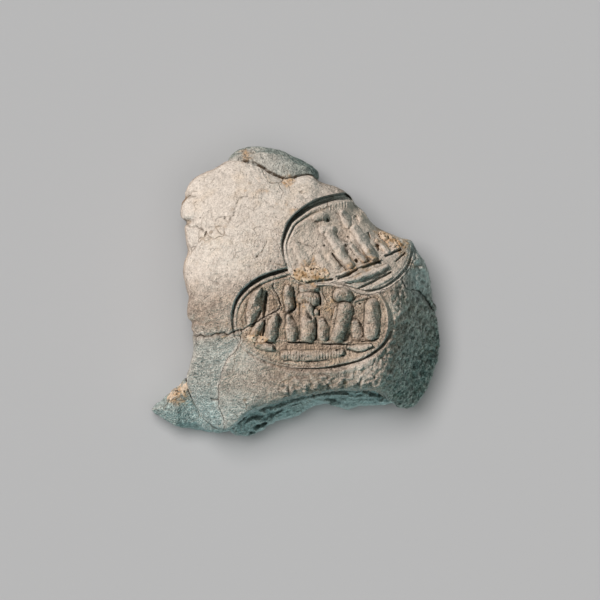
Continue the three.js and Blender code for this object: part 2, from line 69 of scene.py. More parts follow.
# The lump. Outlines and places are shares of its width and length, from its middle.
JACKET_OUTLINE = [
    (0.5, -0.17), (0.485, -0.08), (0.465, 0), (0.46, 0.05), (0.445, 0.1), (0.42, 0.14),
    (0.4, 0.175), (0.36, 0.185), (0.31, 0.205), (0.28, 0.22), (0.255, 0.245), (0.235, 0.275),
    (0.205, 0.3), (0.185, 0.33), (0.14, 0.36), (0.085, 0.375), (0.055, 0.4), (0.01, 0.4),
    (-0.03, 0.39), (-0.08, 0.41), (-0.125, 0.437), (-0.18, 0.45), (-0.235, 0.445), (-0.28, 0.42),
    (-0.32, 0.405), (-0.36, 0.38), (-0.385, 0.33), (-0.395, 0.27), (-0.382, 0.22), (-0.376, 0.15),
    (-0.384, 0.07), (-0.37, 0), (-0.37, -0.09), (-0.352, -0.14), (-0.353, -0.21), (-0.375, -0.27),
    (-0.373, -0.325), (-0.345, -0.385), (-0.31, -0.438), (-0.26, -0.472), (-0.22, -0.465),
    (-0.165, -0.415), (-0.1, -0.387), (0, -0.358), (0.1, -0.345), (0.2, -0.338), (0.28, -0.34),
    (0.32, -0.37), (0.36, -0.395), (0.41, -0.39), (0.445, -0.335), (0.48, -0.26),
]
JACKET_HEART = (0.05, -0.02)
# How high the face stands, as shares of the thickness, on an even grid: rows from the top edge
# down, each from left to right.
FACE_HEIGHTS = [
    [0.42, 0.48, 0.54, 0.5, 0.4, 0.3],
    [0.53, 0.7, 0.79, 0.79, 0.62, 0.34],
    [0.64, 0.82, 0.92, 0.93, 0.82, 0.42],
    [0.66, 0.83, 0.96, 1.0, 0.89, 0.4],
    [0.47, 0.68, 0.86, 0.92, 0.8, 0.34],
    [0.31, 0.48, 0.67, 0.73, 0.6, 0.25],
]
# The section under the rim: reach from the heart, and share of the rim's height.
BED_SECTION = [(1, 1), (0.992, 0.7), (0.97, 0.42), (0.94, 0.22), (0.91, 0.1), (0.87, 0.03), (0.82, 0)]
# How far down the sphere that section goes, as a share of a quarter turn; the bed is the rest.
BED_TURN = 0.6
# Segments and rings of the spheres that are shaped, and the grain of the small pieces' meshes.
LUMP_MESH, SMALL_MESH, SEAT_MESH = (256, 128), (128, 64), (96, 48)
COARSE_GRAIN, FINE_GRAIN, CRUST_GRAIN = 0.12, 0.1, 0.05
# How squarely the domes of the jacket and of the small forms round off, how much more squarely
# the jacket's does towards its lower edge, and from which share of the way down.
JACKET_SQUARENESS, SMALL_SQUARENESS = 5, 2.8
LOWER_SQUARENESS, LOWER_START = 10, 0.2
# Degrees between two faces up to which their edge looks smooth.
SMOOTH_ANGLE = 65
# Room left between pieces, in millimetres.
SEAT_ROOM, LAP_ROOM, WAD_ROOM = 0.12, 0.06, 0.06
# Heights over which the clay is pressed down softly, and by how much it still rises.
FACE_LEVEL, FACE_GIVE = 14.5, 0.8
CEILING, CEILING_GIVE = 15.6, 0.3

# The old breaks that part the jacket.
LEFT_BREAK = [
    (-0.6, -0.16), (-0.36, -0.15), (-0.3, -0.152), (-0.265, -0.146), (-0.243, -0.14),
    (-0.233, -0.148), (-0.185, -0.132),
]
FACE_BREAK = [
    (-0.15, -0.112), (-0.115, -0.093), (-0.085, -0.082), (-0.06, -0.07), (-0.047, -0.045),
    (-0.06, -0.015), (-0.078, 0.012), (-0.075, 0.05), (-0.045, 0.07), (-0.02, 0.055),
    (0.01, 0.03), (0.07, 0.027), (0.12, 0.032), (0.17, 0.02), (0.21, -0.008), (0.25, -0.012),
    (0.29, -0.002), (0.33, 0.02), (0.365, 0.045),
]
SHOULDER_SEAM = [(0.392, 0.075), (0.408, 0.11), (0.413, 0.15), (0.42, 0.26)]
FLANK_CRACK = [(0.37, 0.015), (0.39, 0.004), (0.425, 0), (0.447, -0.025), (0.47, -0.06), (0.6, -0.19)]
CHEEK_SEAM = [
    (-0.19, -0.17), (-0.205, -0.198), (-0.235, -0.235), (-0.25, -0.27), (-0.256, -0.3),
    (-0.268, -0.33), (-0.266, -0.37), (-0.257, -0.41), (-0.247, -0.45), (-0.235, -0.6),
]
# Corners well outside the lump, where the loops round the pieces close, and from which to which
# height, in millimetres, the pieces are cut out.
FAR_CORNERS = [(-0.6, -0.6), (0.6, -0.6), (0.6, 0.6), (-0.6, 0.6)]
CUTTER_HEIGHTS = (-4, 24)
# The rolling block that parts the jacket from the wad: side, steps, depth and lowest height.
SLAB_SIDE, SLAB_STEPS, SLAB_DEPTH, SLAB_FOOT = 40, 90, 8, -3

# The small forms: outline, heart, rim height and level at the heart in millimetres, slope, and
# how much, how widely and from which seed the lump swells.
CORE = {
    "outline": [
        (0.342, -0.37), (0.33, -0.3), (0.2, -0.265), (0.05, -0.275), (-0.08, -0.31),
        (-0.17, -0.36), (-0.23, -0.43), (-0.225, -0.488), (-0.165, -0.5), (-0.125, -0.487),
        (-0.09, -0.457), (0, -0.43), (0.05, -0.402), (0.1, -0.39), (0.145, -0.387),
        (0.18, -0.41), (0.215, -0.397), (0.26, -0.388), (0.3, -0.397), (0.333, -0.393),
    ],
    "heart": (0.03, -0.355), "rim": 4.4, "level": 7.6, "slope": 0.35,
}
LAP = {
    "outline": [
        (0.072, 0.385), (0.06, 0.42), (0.03, 0.443), (-0.03, 0.472), (-0.09, 0.493), (-0.15, 0.5),
        (-0.19, 0.487), (-0.235, 0.45), (-0.2, 0.4), (-0.1, 0.36), (0.02, 0.34),
    ],
    "heart": (-0.075, 0.435), "rim": 4.6, "level": 8.7, "slope": -0.55, "swell": (0.3, 2.6, 81),
}
SPUR = {
    "outline": [
        (-0.375, -0.3), (-0.398, -0.325), (-0.425, -0.345), (-0.455, -0.37), (-0.49, -0.393),
        (-0.5, -0.412), (-0.465, -0.437), (-0.4, -0.462), (-0.33, -0.477), (-0.26, -0.488),
        (-0.225, -0.47), (-0.25, -0.4), (-0.31, -0.33),
    ],
    "heart": (-0.385, -0.4), "rim": 3, "level": 5.6, "slope": 0.3, "swell": (0.3, 2.2, 91),
}
FOLD_PATH = [
    (-0.215, -0.46), (-0.175, -0.435), (-0.11, -0.412), (-0.04, -0.392), (0.04, -0.37),
    (0.12, -0.355), (0.2, -0.352), (0.27, -0.35),
]
TUNNEL = [
    (-0.15, -0.56, 0.42), (-0.145, -0.474, 0.45), (-0.1, -0.405, 0.48), (-0.02, -0.36, 0.5),
    (0.08, -0.33, 0.5), (0.18, -0.325, 0.5), (0.25, -0.35, 0.5), (0.275, -0.45, 0.5),
]
TUNNEL_RADIUS = 0.55
# The core's ribs follow the fold's path, and curl round a hollow at its left end. In millimetres.
HOLLOW_PLACE = (-0.145, -0.474)
RIB_SPACING, RIB_HEIGHT, RIB_LEVEL, RIB_LEAN = 1.15, 0.3, 0.9, 0.8
CURL_SPACING, CURL_REACH, CURL_FADE = 0.95, 3.2, 1.2
LAYER_SPACING, LAYER_HEIGHT = 0.42, 0.05
# Folds of the rolled core: depth, then places with half widths, in millimetres.
CORE_FOLDS = [
    (0.35, [
        (-0.105, -0.435, 0.15), (-0.06, -0.414, 0.17), (-0.019, -0.393, 0.16),
        (0.0155, -0.383, 0.17), (0.084, -0.369, 0.14), (0.139, -0.373, 0.17),
    ]),
    (0.35, [
        (-0.18, -0.483, 0.12), (-0.177, -0.455, 0.16), (-0.156, -0.437, 0.17),
        (-0.115, -0.428, 0.14), (-0.075, -0.414, 0.12),
    ]),
    (0.9, [(-0.158, -0.5, 0.26), (-0.1495, -0.479, 0.32), (-0.132, -0.464, 0.3), (-0.1, -0.453, 0.16)]),
    (0.9, [(-0.148, -0.482, 0.3), (-0.14, -0.488, 0.26)]),
    (0.4, [(0.175, -0.35, 0.14), (0.2, -0.357, 0.17), (0.2285, -0.354, 0.14)]),
    (0.5, [(0.258, -0.352, 0.25), (0.29, -0.354, 0.3)]),
    (0.25, [(-0.06, -0.44, 0.14), (0.0, -0.414, 0.14), (0.06, -0.392, 0.12)]),
    (0.3, [(0.15, -0.38, 0.2), (0.16, -0.4, 0.25)]),
]
# How high each string's print in the bed starts at the left and ends at the right.
BED_PRINTS = [(0.17, 0.09), (-0.16, -0.06)]
STRING_RADIUS, PLY_SPACING, PLY_DEPTH, PLY_SLANT = 0.8, 1.3, 0.12, 1.4

# The two impressions are drawn on fine square grids, x to the right and y down: how many steps
# make the lump's width, and where the lump's middle lies.
FIRST_GRID = {"steps": 2328, "middle": (574, 292)}
SECOND_GRID = {"steps": 2619, "middle": (229.5, 958.5)}
FIRST_OVAL = {"middle": (709, 510), "half": (651, 425), "squareness": 2.2, "steps": 96}
SECOND_OUTLINE = [
    (95, 560), (130, 390), (185, 290), (340, 165), (530, 90), (715, 60), (910, 70), (1120, 170),
    (1265, 330), (1310, 480), (1300, 600), (1260, 730), (1180, 830), (1090, 905), (980, 965),
    (860, 985), (700, 945), (560, 905), (330, 905), (230, 845), (150, 740),
]
# Raised shapes: rise as a share of the figures' rise, then places with half widths.
FIRST_RAISED = [
    (0.8, [(288, 280, 16), (260, 335, 44), (246, 405, 58), (228, 480, 50), (206, 555, 20)]),
    (0.35, [(345, 285, 8), (385, 310, 8), (425, 350, 8), (448, 400, 8), (455, 440, 7)]),
    (0.25, [(390, 360, 40), (385, 420, 40)]),
    (0.8, [(302, 535, 20), (272, 588, 38), (246, 632, 40)]),
    (0.95, [(412, 492, 30), (392, 560, 46), (378, 620, 50), (372, 660, 46)]),
    (0.9, [(512, 275, 34), (514, 335, 42), (524, 395, 42), (514, 440, 26)]),
    (0.85, [(520, 500, 28), (536, 560, 44), (543, 620, 48), (545, 660, 44)]),
    (0.75, [(634, 276, 36), (680, 274, 42), (722, 272, 40)]),
    (0.9, [(640, 345, 54), (690, 350, 60), (716, 356, 56)]),
    (0.95, [(664, 410, 54), (668, 500, 60), (671, 580, 66), (672, 650, 60)]),
    (0.75, [(738, 455, 26), (741, 457, 26)]),
    (0.8, [(780, 532, 32), (793, 585, 46), (794, 645, 47)]),
    (1.1, [(930, 322, 62), (950, 321, 66), (970, 323, 62)]),
    (1.05, [(968, 432, 62), (951, 510, 62), (926, 590, 58), (906, 655, 56)]),
    (0.5, [(902, 430, 20), (886, 510, 24), (872, 600, 26), (866, 665, 26)]),
    (0.75, [(1052, 545, 32), (1066, 600, 45), (1067, 640, 47)]),
    (0.5, [(1046, 372, 12), (1076, 352, 15), (1122, 342, 15), (1160, 340, 14)]),
    (1.0, [(1184, 396, 54), (1184, 460, 60), (1181, 540, 61), (1176, 600, 59), (1172, 634, 56)]),
    (0.3, [(430, 682, 10), (520, 684, 13), (600, 686, 10)]),
    (0.35, [(620, 688, 10), (760, 692, 14), (950, 697, 14), (1010, 692, 10)]),
    (0.35, [(1090, 672, 10), (1150, 662, 13), (1228, 650, 10)]),
    (1.2, [(275, 716, 24), (325, 730, 32), (385, 742, 28)]),
    (1.2, [(1000, 735, 16), (1060, 740, 28), (1120, 736, 28), (1170, 724, 14)]),
    (0.7, [(490, 797, 40), (600, 800, 46), (750, 800, 44), (860, 790, 40), (940, 772, 30)]),
]
# Cut shapes: depth under what is there, in millimetres, then places with half widths.
FIRST_CUT = [
    (0.45, [(340, 292, 12), (334, 350, 19), (330, 430, 19), (322, 495, 12)]),
    (0.3, [(328, 520, 7), (324, 590, 9), (312, 645, 7)]),
    (0.3, [(556, 262, 7), (562, 320, 8), (574, 360, 9), (578, 405, 9), (560, 440, 8), (528, 456, 8)]),
    (0.3, [(762, 300, 8), (776, 350, 9), (772, 400, 8)]),
    (0.25, [(770, 440, 6), (768, 480, 6)]),
    (0.25, [(740, 500, 6), (742, 580, 8), (738, 660, 8)]),
    (0.3, [(1086, 390, 12), (1090, 392, 12)]),
    (0.25, [(520, 702, 4), (640, 702, 6), (700, 704, 4)]),
    (0.3, [(790, 710, 5), (880, 714, 7), (990, 712, 5)]),
    (0.3, [(1096, 692, 5), (1160, 686, 7), (1232, 670, 5)]),
    (0.2, [(990, 756, 5), (1060, 772, 6), (1130, 762, 6), (1180, 728, 5)]),
    (0.12, [(480, 846, 4), (650, 850, 5), (840, 842, 4)]),
    (0.3, [(905, 762, 10), (930, 752, 10)]),
    (0.3, [(945, 800, 10), (960, 806, 8)]),
    (0.12, [(790, 262, 4), (800, 330, 5), (830, 380, 4)]),
]
SECOND_RAISED = [
    (0.75, [(418, 296, 44), (470, 290, 52)]),
    (0.4, [(470, 330, 40), (512, 390, 50)]),
    (0.7, [(490, 404, 56), (556, 402, 42)]),
    (0.75, [(656, 262, 40), (690, 320, 46), (706, 360, 40)]),
    (0.4, [(706, 350, 46), (768, 404, 46)]),
    (0.95, [(530, 430, 48), (600, 552, 50), (652, 640, 48), (722, 726, 40)]),
    (0.9, [(735, 555, 24), (790, 620, 30), (850, 675, 28)]),
    (1.05, [(760, 396, 48), (820, 480, 48), (872, 570, 42), (930, 664, 32)]),
    (0.9, [(970, 500, 28), (1020, 550, 32), (1062, 598, 26)]),
    (0.3, [(230, 540, 40), (280, 620, 46), (330, 700, 40)]),
    (0.25, [(440, 650, 36), (492, 722, 36)]),
    (0.3, [(540, 650, 34), (602, 735, 36)]),
    (0.5, [(1000, 432, 22), (1060, 500, 22), (1110, 545, 16)]),
    (0.55, [(590, 816, 10), (700, 782, 13), (800, 738, 13), (900, 700, 13), (995, 672, 10)]),
    (0.5, [(1020, 628, 8), (1100, 590, 11), (1160, 560, 8)]),
    (0.95, [(640, 872, 18), (760, 850, 28), (860, 815, 34), (960, 775, 34), (1045, 735, 24)]),
    (0.5, [(830, 955, 12), (930, 922, 18), (1020, 878, 18), (1090, 832, 12)]),
]
SECOND_CUT = [
    (0.4, [(558, 616, 6), (620, 694, 9), (688, 768, 9)]),
    (0.25, [(700, 470, 8), (740, 520, 8)]),
    (0.3, [(880, 440, 14), (900, 480, 10)]),
    (0.45, [(676, 546, 15), (680, 549, 15)]),
    (0.5, [(770, 682, 16), (778, 692, 14)]),
    (0.3, [(490, 550, 10), (494, 552, 10)]),
    (0.5, [(962, 552, 18), (972, 580, 14)]),
    (0.5, [(428, 778, 14), (450, 800, 14)]),
    (0.35, [(515, 318, 16), (520, 324, 14)]),
    (0.35, [(772, 298, 26), (790, 322, 22)]),
    (0.3, [(270, 890, 5), (380, 884, 5)]),
    (0.45, [(428, 876, 12), (500, 868, 20), (560, 852, 16)]),
    (0.4, [(618, 840, 9), (700, 808, 14), (782, 768, 8)]),
    (0.4, [(836, 748, 8), (900, 722, 14), (985, 694, 9)]),
    (0.35, [(1036, 645, 9), (1100, 614, 12), (1172, 582, 8)]),
    (0.4, [(795, 930, 11), (850, 905, 14), (940, 865, 16), (1020, 825, 14), (1082, 788, 9)]),
    (0.35, [(1130, 690, 8), (1170, 655, 12), (1212, 615, 9)]),
    (0.12, [(250, 520, 5), (330, 545, 5), (400, 570, 4)]),
]
# The wall of an impression: millimetres in from its edge, and share of the drop. Then the lines
# and the ridge of its border, as heights in millimetres at a strength of 1.
WALL_SECTION = [(-0.12, 0), (-0.02, 0.04), (0.05, 0.2), (0.14, 0.8), (0.22, 1), (9, 1)]
OUTER_LINE = [
    (0.02, 0), (0.12, -0.2), (0.27, -0.26), (0.38, -0.04), (0.48, 0.12), (0.57, 0.12), (1.5, 0), (9, 0),
]
LEE_LINE = [
    (-0.55, 0), (-0.2, 0.12), (-0.03, 0.1), (0.42, -0.32), (0.48, -0.32), (0.56, 0.12), (0.72, 0.14),
    (1.6, 0), (9, 0),
]
INNER_LINE = [(0.58, 0), (0.66, -0.08), (0.74, -0.2), (0.83, -0.1), (0.95, 0), (9, 0)]
# Round each impression: degrees counterclockwise from its right, drop of the wall in millimetres,
# strength of its outer and inner line, and width of both.
FIRST_RING = [
    (5, 0.05, 0.3, -1.3, 1), (25, 0.06, 0.3, -0.8, 1), (55, 0.08, 0.2, 0.2, 0.9),
    (95, 0.25, 0.8, 0.5, 1), (112, 0.5, 1.6, 1.2, 1.2), (128, 0.7, 2.2, 1.4, 1.35),
    (152, 0.7, 2.2, 1.4, 1.3), (170, 0.45, 1.5, 1, 1.1), (186, 0.2, 0.6, 0.6, 0.9),
    (200, 0.06, 0.4, 0.3, 0.8), (218, 0.06, 0.6, 0.5, 0.8), (228, 0.1, 0.8, 0.7, 0.8),
    (255, 0.1, 0.7, 0.7, 0.8), (278, 0.08, 0.8, 0.5, 0.9), (300, 0.08, 1.1, 0, 1.1),
    (325, 0.08, 1.2, 0, 1), (343, 0.08, 1, 0, 0.8), (352, 0.05, 0.5, -1, 0.9),
]
SECOND_RING = [
    (0, 0.08, 0.8, 0.4, 0.75), (30, 0.1, 0.6, 0.4, 0.8), (60, 0.5, 0.9, 0.3, 1), (82, 1.0, 2.6, 0.1, 1.8),
    (105, 1.1, 3.2, 0.1, 1.95), (125, 1.1, 3.2, 0.3, 1.9), (148, 1.1, 3, 1.4, 1.6),
    (165, 0.75, 2.2, 1.8, 1.2), (182, 0.35, 1.2, 1.2, 0.9), (196, 0.1, 0.3, 0.3, 0.8),
    (225, 0.04, 0.1, 0.1, 0.8), (245, 0.1, 0.3, 0.3, 0.8), (270, 0.2, 0.8, 0.8, 0.9),
    (300, 0.08, 0.9, 0.3, 0.9), (330, 0.08, 0.9, 0.4, 0.8),
]
FIRST_STAMP = {
    "grid": FIRST_GRID, "raised": FIRST_RAISED, "cut": FIRST_CUT, "ring": FIRST_RING,
    "middle": (0.058, -0.096), "bowl": "first_depth",
}
SECOND_STAMP = {
    "grid": SECOND_GRID, "raised": SECOND_RAISED, "cut": SECOND_CUT, "ring": SECOND_RING,
    "middle": (0.18, 0.166), "bowl": "second_depth",
}
# Millimetres inside the second impression over which it takes over from the first, and inside
# either over which its bowl sinks.
OVERLAP = (-0.1, 0.12)
BOWL_SPREAD = (0.5, 3.4)
# Millimetres inside either over which its figures and its cuts set in.
FIGURE_EDGE, CUT_EDGE = (0.4, 0.95), (0.2, 0.7)
# Towards these degrees the border's outer line is the one that leans. Strokes lean to the lower
# right, the side that the seal left steep.
LEE_TURN = 145
LEE_ACROSS, LEE_UP = 0.85, -0.53
# How squarely the strokes of cuts, cracks, dirt, folds and ribbed strips are rounded.
CUT_SQUARENESS, CRACK_SQUARENESS, DIRT_SQUARENESS = 1.6, 1.4, 1.1
FOLD_SQUARENESS, STRIP_SQUARENESS = 1.5, 6
# How a figure's bar is rounded, and how its rise follows its half width in millimetres.
BAR_SQUARENESS, BAR_FULLNESS, BAR_LEAN = 2, 0.8, 0.2
BAR_LEAST_RISE, BAR_RISE_BY_WIDTH = 0.3, 0.62
# Strips with fine ribs, as places with half widths on the drawing grids, and the ribs' spacing.
BAND = [(460, 800, 34), (860, 792, 34), (920, 780, 20)]
WIG = [(620, 354, 38), (725, 356, 42)]
COMB = [(545, 212, 26), (640, 178, 32), (765, 165, 30)]
RIB_STEPS, RIB_DEPTH = 23, 0.06

# Layers of noise: strength, size in millimetres and seed.
STROKE_DRIFTS = [(0.07, 0.55, 12)], [(0.07, 0.55, 13)]
FIGURE_WEAR = [(0.22, 0.9, 14), (0.12, 0.35, 15)]
RIB_WEAR = [(0.8, 1.1, 17)]
EDGE_WOBBLE = [(0.06, 2.5, 11)]
TONE_CLOUD = [(0.6, 3, 21), (0.4, 1.1, 22)]
TONE_GRAIN = [(1, 0.5, 23)]
SWELL = [(0.2, 5, 31), (0.1, 2.2, 32)]
SLAB_WAVE = [(0.35, 4, 51), (0.12, 1.2, 52)]
RIB_DRIFT = [(0.35, 2.5, 71)]
CORE_SWELL = [(0.15, 1.3, 72)]
CURL_DRIFT = [(0.15, 1.2, 74)]
LAYER_DRIFT = [(2, 1.5, 75)]

# Hairline cracks, as places with half widths in millimetres, and their depth in millimetres.
HAIRLINES = [
    (0.2, [(-0.165, 0.325, 0.13), (-0.19, 0.315, 0.13), (-0.205, 0.285, 0.13), (-0.21, 0.26, 0.12)]),
    (0.15, [(-0.165, 0.325, 0.12), (-0.12, 0.322, 0.12), (-0.09, 0.305, 0.12), (-0.075, 0.285, 0.1)]),
    (0.2, [(-0.21, 0.26, 0.13), (-0.235, 0.25, 0.13), (-0.26, 0.252, 0.12), (-0.275, 0.24, 0.1)]),
    (0.3, [(-0.38, 0.245, 0.2), (-0.36, 0.225, 0.15), (-0.33, 0.222, 0.13), (-0.305, 0.205, 0.13)]),
    (0.3, [(-0.39, 0.3, 0.2), (-0.38, 0.325, 0.15), (-0.365, 0.333, 0.13), (-0.34, 0.328, 0.12)]),
    (0.2, [(-0.305, 0.205, 0.15), (-0.307, 0.19, 0.13)]),
    (0.2, [(-0.285, 0.035, 0.12), (-0.262, 0.026, 0.12)]),
    (0.35, [(-0.29, -0.367, 0.13), (-0.278, -0.372, 0.16), (-0.265, -0.37, 0.13)]),
    (0.35, [(-0.023, -0.325, 0.12), (-0.025, -0.34, 0.16), (-0.021, -0.355, 0.16)]),
    (0.3, [(0.226, -0.292, 0.12), (0.222, -0.305, 0.15), (0.22, -0.325, 0.15)]),
    (0.25, [(0.272, -0.232, 0.12), (0.265, -0.25, 0.13)]),
    (0.25, [(0.105, -0.315, 0.12), (0.115, -0.33, 0.12), (0.112, -0.345, 0.12)]),
    (0.2, [(-0.16, -0.268, 0.12), (-0.148, -0.275, 0.12)]),
    (0.2, [(-0.35, -0.1, 0.12), (-0.315, -0.11, 0.12), (-0.29, -0.1, 0.1)]),
    (0.8, [(0.425, 0.002, 0.15), (0.445, -0.0155, 0.3), (0.46, -0.04, 0.32), (0.472, -0.065, 0.15)]),
]
# What the hairlines' widths and depths are multiplied by.
HAIRLINE_WIDTH, HAIRLINE_DEPTH = 0.7, 0.6
# The rubbed edge of each break: into how many parts it is cut, of which the first is rubbed, then
# half width and depth in millimetres.
WORN_BREAKS = [
    ("left", 1, 0.17, 0.22), ("face", 3, 0.11, 0.16), ("flank", 1, 0.1, 0.12),
    ("seam", 1, 0.1, 0.1), ("cheek", 1, 0.12, 0.05),
]
# The kinks of a broken edge: how far apart, over how many the wide ones spread, how large they
# are when fine and when wide, and the largest, in parts of a line's own size of kink, which is
# in millimetres.
RAGGED_STEP, KINK_SPREAD = 0.2, 5
FINE_KINK, WIDE_KINK, LARGEST_KINK = 0.7, 1.3, 2
BREAK_KINKS, BREAK_SEED = 0.06, 61
HAIRLINE_KINKS, HAIRLINE_SEED = 0.07, 7
# The lobe's lip over the cheek and the cheek's sunk edge: height and width in millimetres.
LIP_HEIGHT, LIP_WIDTH = 0.14, 1.5
SUNK_DEPTH, SUNK_WIDTH = 0.08, 0.8
# Over which millimetres across the seam each sets in, and over which share down both do.
LIP_EDGE, SUNK_EDGE, SEAM_START = (-0.12, 0.14), (-0.1, 0.12), (0.15, 0.2)
# Soft folds pressed into the face: places, half width and depth in millimetres.
SOFT_FOLDS = [
    ([(-0.33, -0.05), (-0.34, -0.1), (-0.335, -0.15)], 1, 0.25),
    ([(-0.36, 0.2), (-0.355, 0.14), (-0.34, 0.09)], 1.2, 0.25),
    ([(-0.38, 0.325), (-0.34, 0.31), (-0.3, 0.315)], 0.7, 0.15),
    ([(-0.38, 0.235), (-0.33, 0.222), (-0.29, 0.215)], 0.7, 0.2),
    ([(-0.33, -0.2), (-0.31, -0.24), (-0.32, -0.3)], 1.2, 0.25),
    ([(0.4, 0.05), (0.41, -0.02), (0.43, -0.09)], 1.2, 0.25),
    ([(0.41, -0.24), (0.4, -0.29), (0.42, -0.34)], 1.5, 0.3),
    ([(-0.1, 0.33), (-0.04, 0.35), (0.02, 0.36)], 1, 0.15),
]
# The swollen brow along the right and the lower edge of the face: places, width inwards and
# outwards, and rise, in millimetres.
BROWS = [
    (
        [
            (0.44, 0.14), (0.428, 0.07), (0.41, 0), (0.39, -0.1), (0.368, -0.17), (0.33, -0.25),
            (0.3, -0.3),
        ],
        5, 2.8, 1.7,
    ),
    ([(-0.18, -0.43), (-0.1, -0.397), (0, -0.368), (0.12, -0.354), (0.26, -0.347)], 4, 1.2, 0.8),
]
# Small creases in the left side: share of the length, half width and depth in millimetres.
EDGE_NOTCHES = [
    (0.232, 0.4, 0.4), (0.32, 0.35, 0.25), (0.13, 0.7, 0.2), (-0.03, 0.6, 0.2), (-0.12, 0.5, 0.35),
    (-0.155, 0.25, 0.2), (-0.27, 0.6, 0.15),
]
# How a crease slants with each millimetre across from its pivot, and over which shares across
# and millimetres up the creases reach.
NOTCH_SLANT, NOTCH_PIVOT = 0.3, -0.4
NOTCH_ACROSS, NOTCH_UP = (-0.37, -0.32), (3, 5)
# The larger pits, and their radius and depth in millimetres. Then how many smaller ones are
# strewn, from which seed, their least radius and what is added to it, and their depth by it.
PIT_PLACES = [(-0.307, 0.195), (-0.24, 0.25), (-0.222, 0.247), (-0.13, 0.12), (0.02, 0.34)]
PLACED_PIT = (0.22, 0.3)
PIT_COUNT, PIT_SEED = 500, 5
LEAST_PIT, PIT_SPAN, PIT_DEPTH = 0.1, 0.2, 0.35
# The pits' share of their depth inside the impressions, and the millimetres over which it falls.
STAMPED_PITS, PIT_EDGE = 0.35, (-0.3, 0.1)
# How far across less how far up, in millimetres, the flank's deeper pits and rougher clay start.
FLANK_START = 6
FLANK_REACH, FLANK_EDGE = (5, 13), (-0.5, 0.2)
# Roughness of the whole skin: depth in millimetres, how much more on the flank, size in
# millimetres, seed and octaves. Then depth and size for the small forms and the crusts.
LUMP_ROUGHNESS = [(0.03, 0.12, 0.75, 41, 3), (0.02, 0.13, 0.36, 44, 2)]
CORE_ROUGHNESS = (0.05, 0.5, 73, 3)
SKIN_ROUGHNESS, CRUST_ROUGHNESS = (0.06, 0.6), (0.05, 0.22)
# How upward the clay has to look for the relief, how downward for the bed's prints, and how high
# over the bed, in millimetres, the swelling sets in.
UPWARD, DOWNWARD, OFF_BED = (0.02, 0.25), -0.5, (0.2, 1.5)
# The same for the core's folds and ribs.
CORE_UPWARD, CORE_OFF_BED = (0, 0.5), (0.3, 1.2)
# How far in and round the impressions, in millimetres, and how upward a face of the mesh is split.
SPLIT_INSET, SPLIT_UPWARD = -0.2, 0.1

# Burial soil: place, half length, half width in millimetres, turn in degrees, grains.
CRUSTS = {
    "crust_second_stamp": ((0.05, 0.062), (2.1, 0.75), 4, 120),
    "crust_first_stamp": ((-0.13, -0.162), (1.2, 0.33), -6, 60),
    "crust_broken_edge": ((0.325, 0.178), (1.6, 0.36), -32, 70),
    "crust_top_notch": ((-0.025, 0.378), (0.7, 0.4), 20, 40),
    "crust_spur": ((-0.402, -0.345), (1.5, 0.42), 38, 80),
}
# Grains: radii in millimetres in the middle and how they taper outwards, how far they sink in,
# and how flat they are. Then the seeds of their strewing and of the crusts' skin.
GRAIN_RADII, GRAIN_SINK, GRAIN_SCALE = (0.12, 0.34), 0.02, (1, 1, 0.4)
GRAIN_MIDDLE, GRAIN_TAPER = 1.15, 0.5
STREW_SEED, CRUST_SEED = 100, 110


def length_setting(name, description, metres):
    return FloatProperty(
        name=name, description=description, default=metres, unit="LENGTH", subtype="DISTANCE"
    )


def colour_setting(name, description, linear):
    return FloatVectorProperty(
        name=name, description=description, default=linear, size=3, subtype="COLOR"
    )


class BullaSizes(bpy.types.PropertyGroup):
    """The sizes of the bulla that a user would change."""

    lump_width: length_setting("Lump width", "Across the whole bulla", 0.032)
    lump_length: length_setting("Lump length", "From the lower edge to the top lap", 0.032)
    lump_thickness: length_setting("Lump thickness", "From the bed to the highest clay", 0.016)
    rim_height: length_setting("Rim height", "Where the jacket is widest", 0.006)
    wad_thickness: length_setting("Wad thickness", "Of the clay against the package", 0.0043)
    first_depth: length_setting("First impression", "Bowl of the lower impression", 0.00035)
    second_depth: length_setting("Second impression", "Bowl of the upper impression", 0.00035)
    figure_rise: length_setting("Figure rise", "How far the figures stand up from the floor", 0.001)
    crack_width: length_setting("Crack width", "Between two pieces of the jacket", 0.00005)
    grain: length_setting("Mesh grain", "Size of the mesh's faces on the lump", 0.00014)


class BullaColours(bpy.types.PropertyGroup):
    """The colours of the clay and the studio, in linear light."""

    # The pale tone is partly the clay's own and partly painted light on the plane that faces the key lamp.
    pale_and_lit: colour_setting("Pale clay", "The upper left plane", (0.615, 0.555, 0.505))
    warm: colour_setting("Warm clay", "The middle of the face and the lower lobe", (0.435, 0.345, 0.285))
    # The cool tone is partly the clay's own and partly painted light: a rim light on steep faces and teal
    # fill on faces turned away.
    cool_and_painted_light: colour_setting("Cool clay", "The lower left, the spur and the core", (0.45, 0.54, 0.545))
    # The green tone is partly the clay's own and partly painted shade on the flank and on faces turned from
    # the key lamp.
    green: colour_setting("Green clay", "The right flank and the underside", (0.188, 0.245, 0.226))
    tan: colour_setting("Tan clay", "The floor of the impressions", (0.5, 0.38, 0.29))
    figure: colour_setting("Figures", "The worn tops of the figures", (0.49, 0.4, 0.333))
    # The hollows' colour is partly stain and partly painted shade in the creases of the impressions.
    hollow: colour_setting("Hollows", "The stain in deep lines", (0.05, 0.05, 0.04))
    soil: colour_setting("Burial soil", "The orange-brown flecks", (0.44, 0.27, 0.14))
    crust: colour_setting("Crust", "The dried soil in the hollows", (0.64, 0.51, 0.4))
    paper: colour_setting("Paper", "What the bulla lies on", (0.535, 0.535, 0.535))


def sizes():
    """The sizes in millimetres, by name."""
    group = bpy.context.scene.bulla_sizes
    return {name: getattr(group, name) / MILLIMETRE for name in BullaSizes.__annotations__}


# Curves, distances and noise

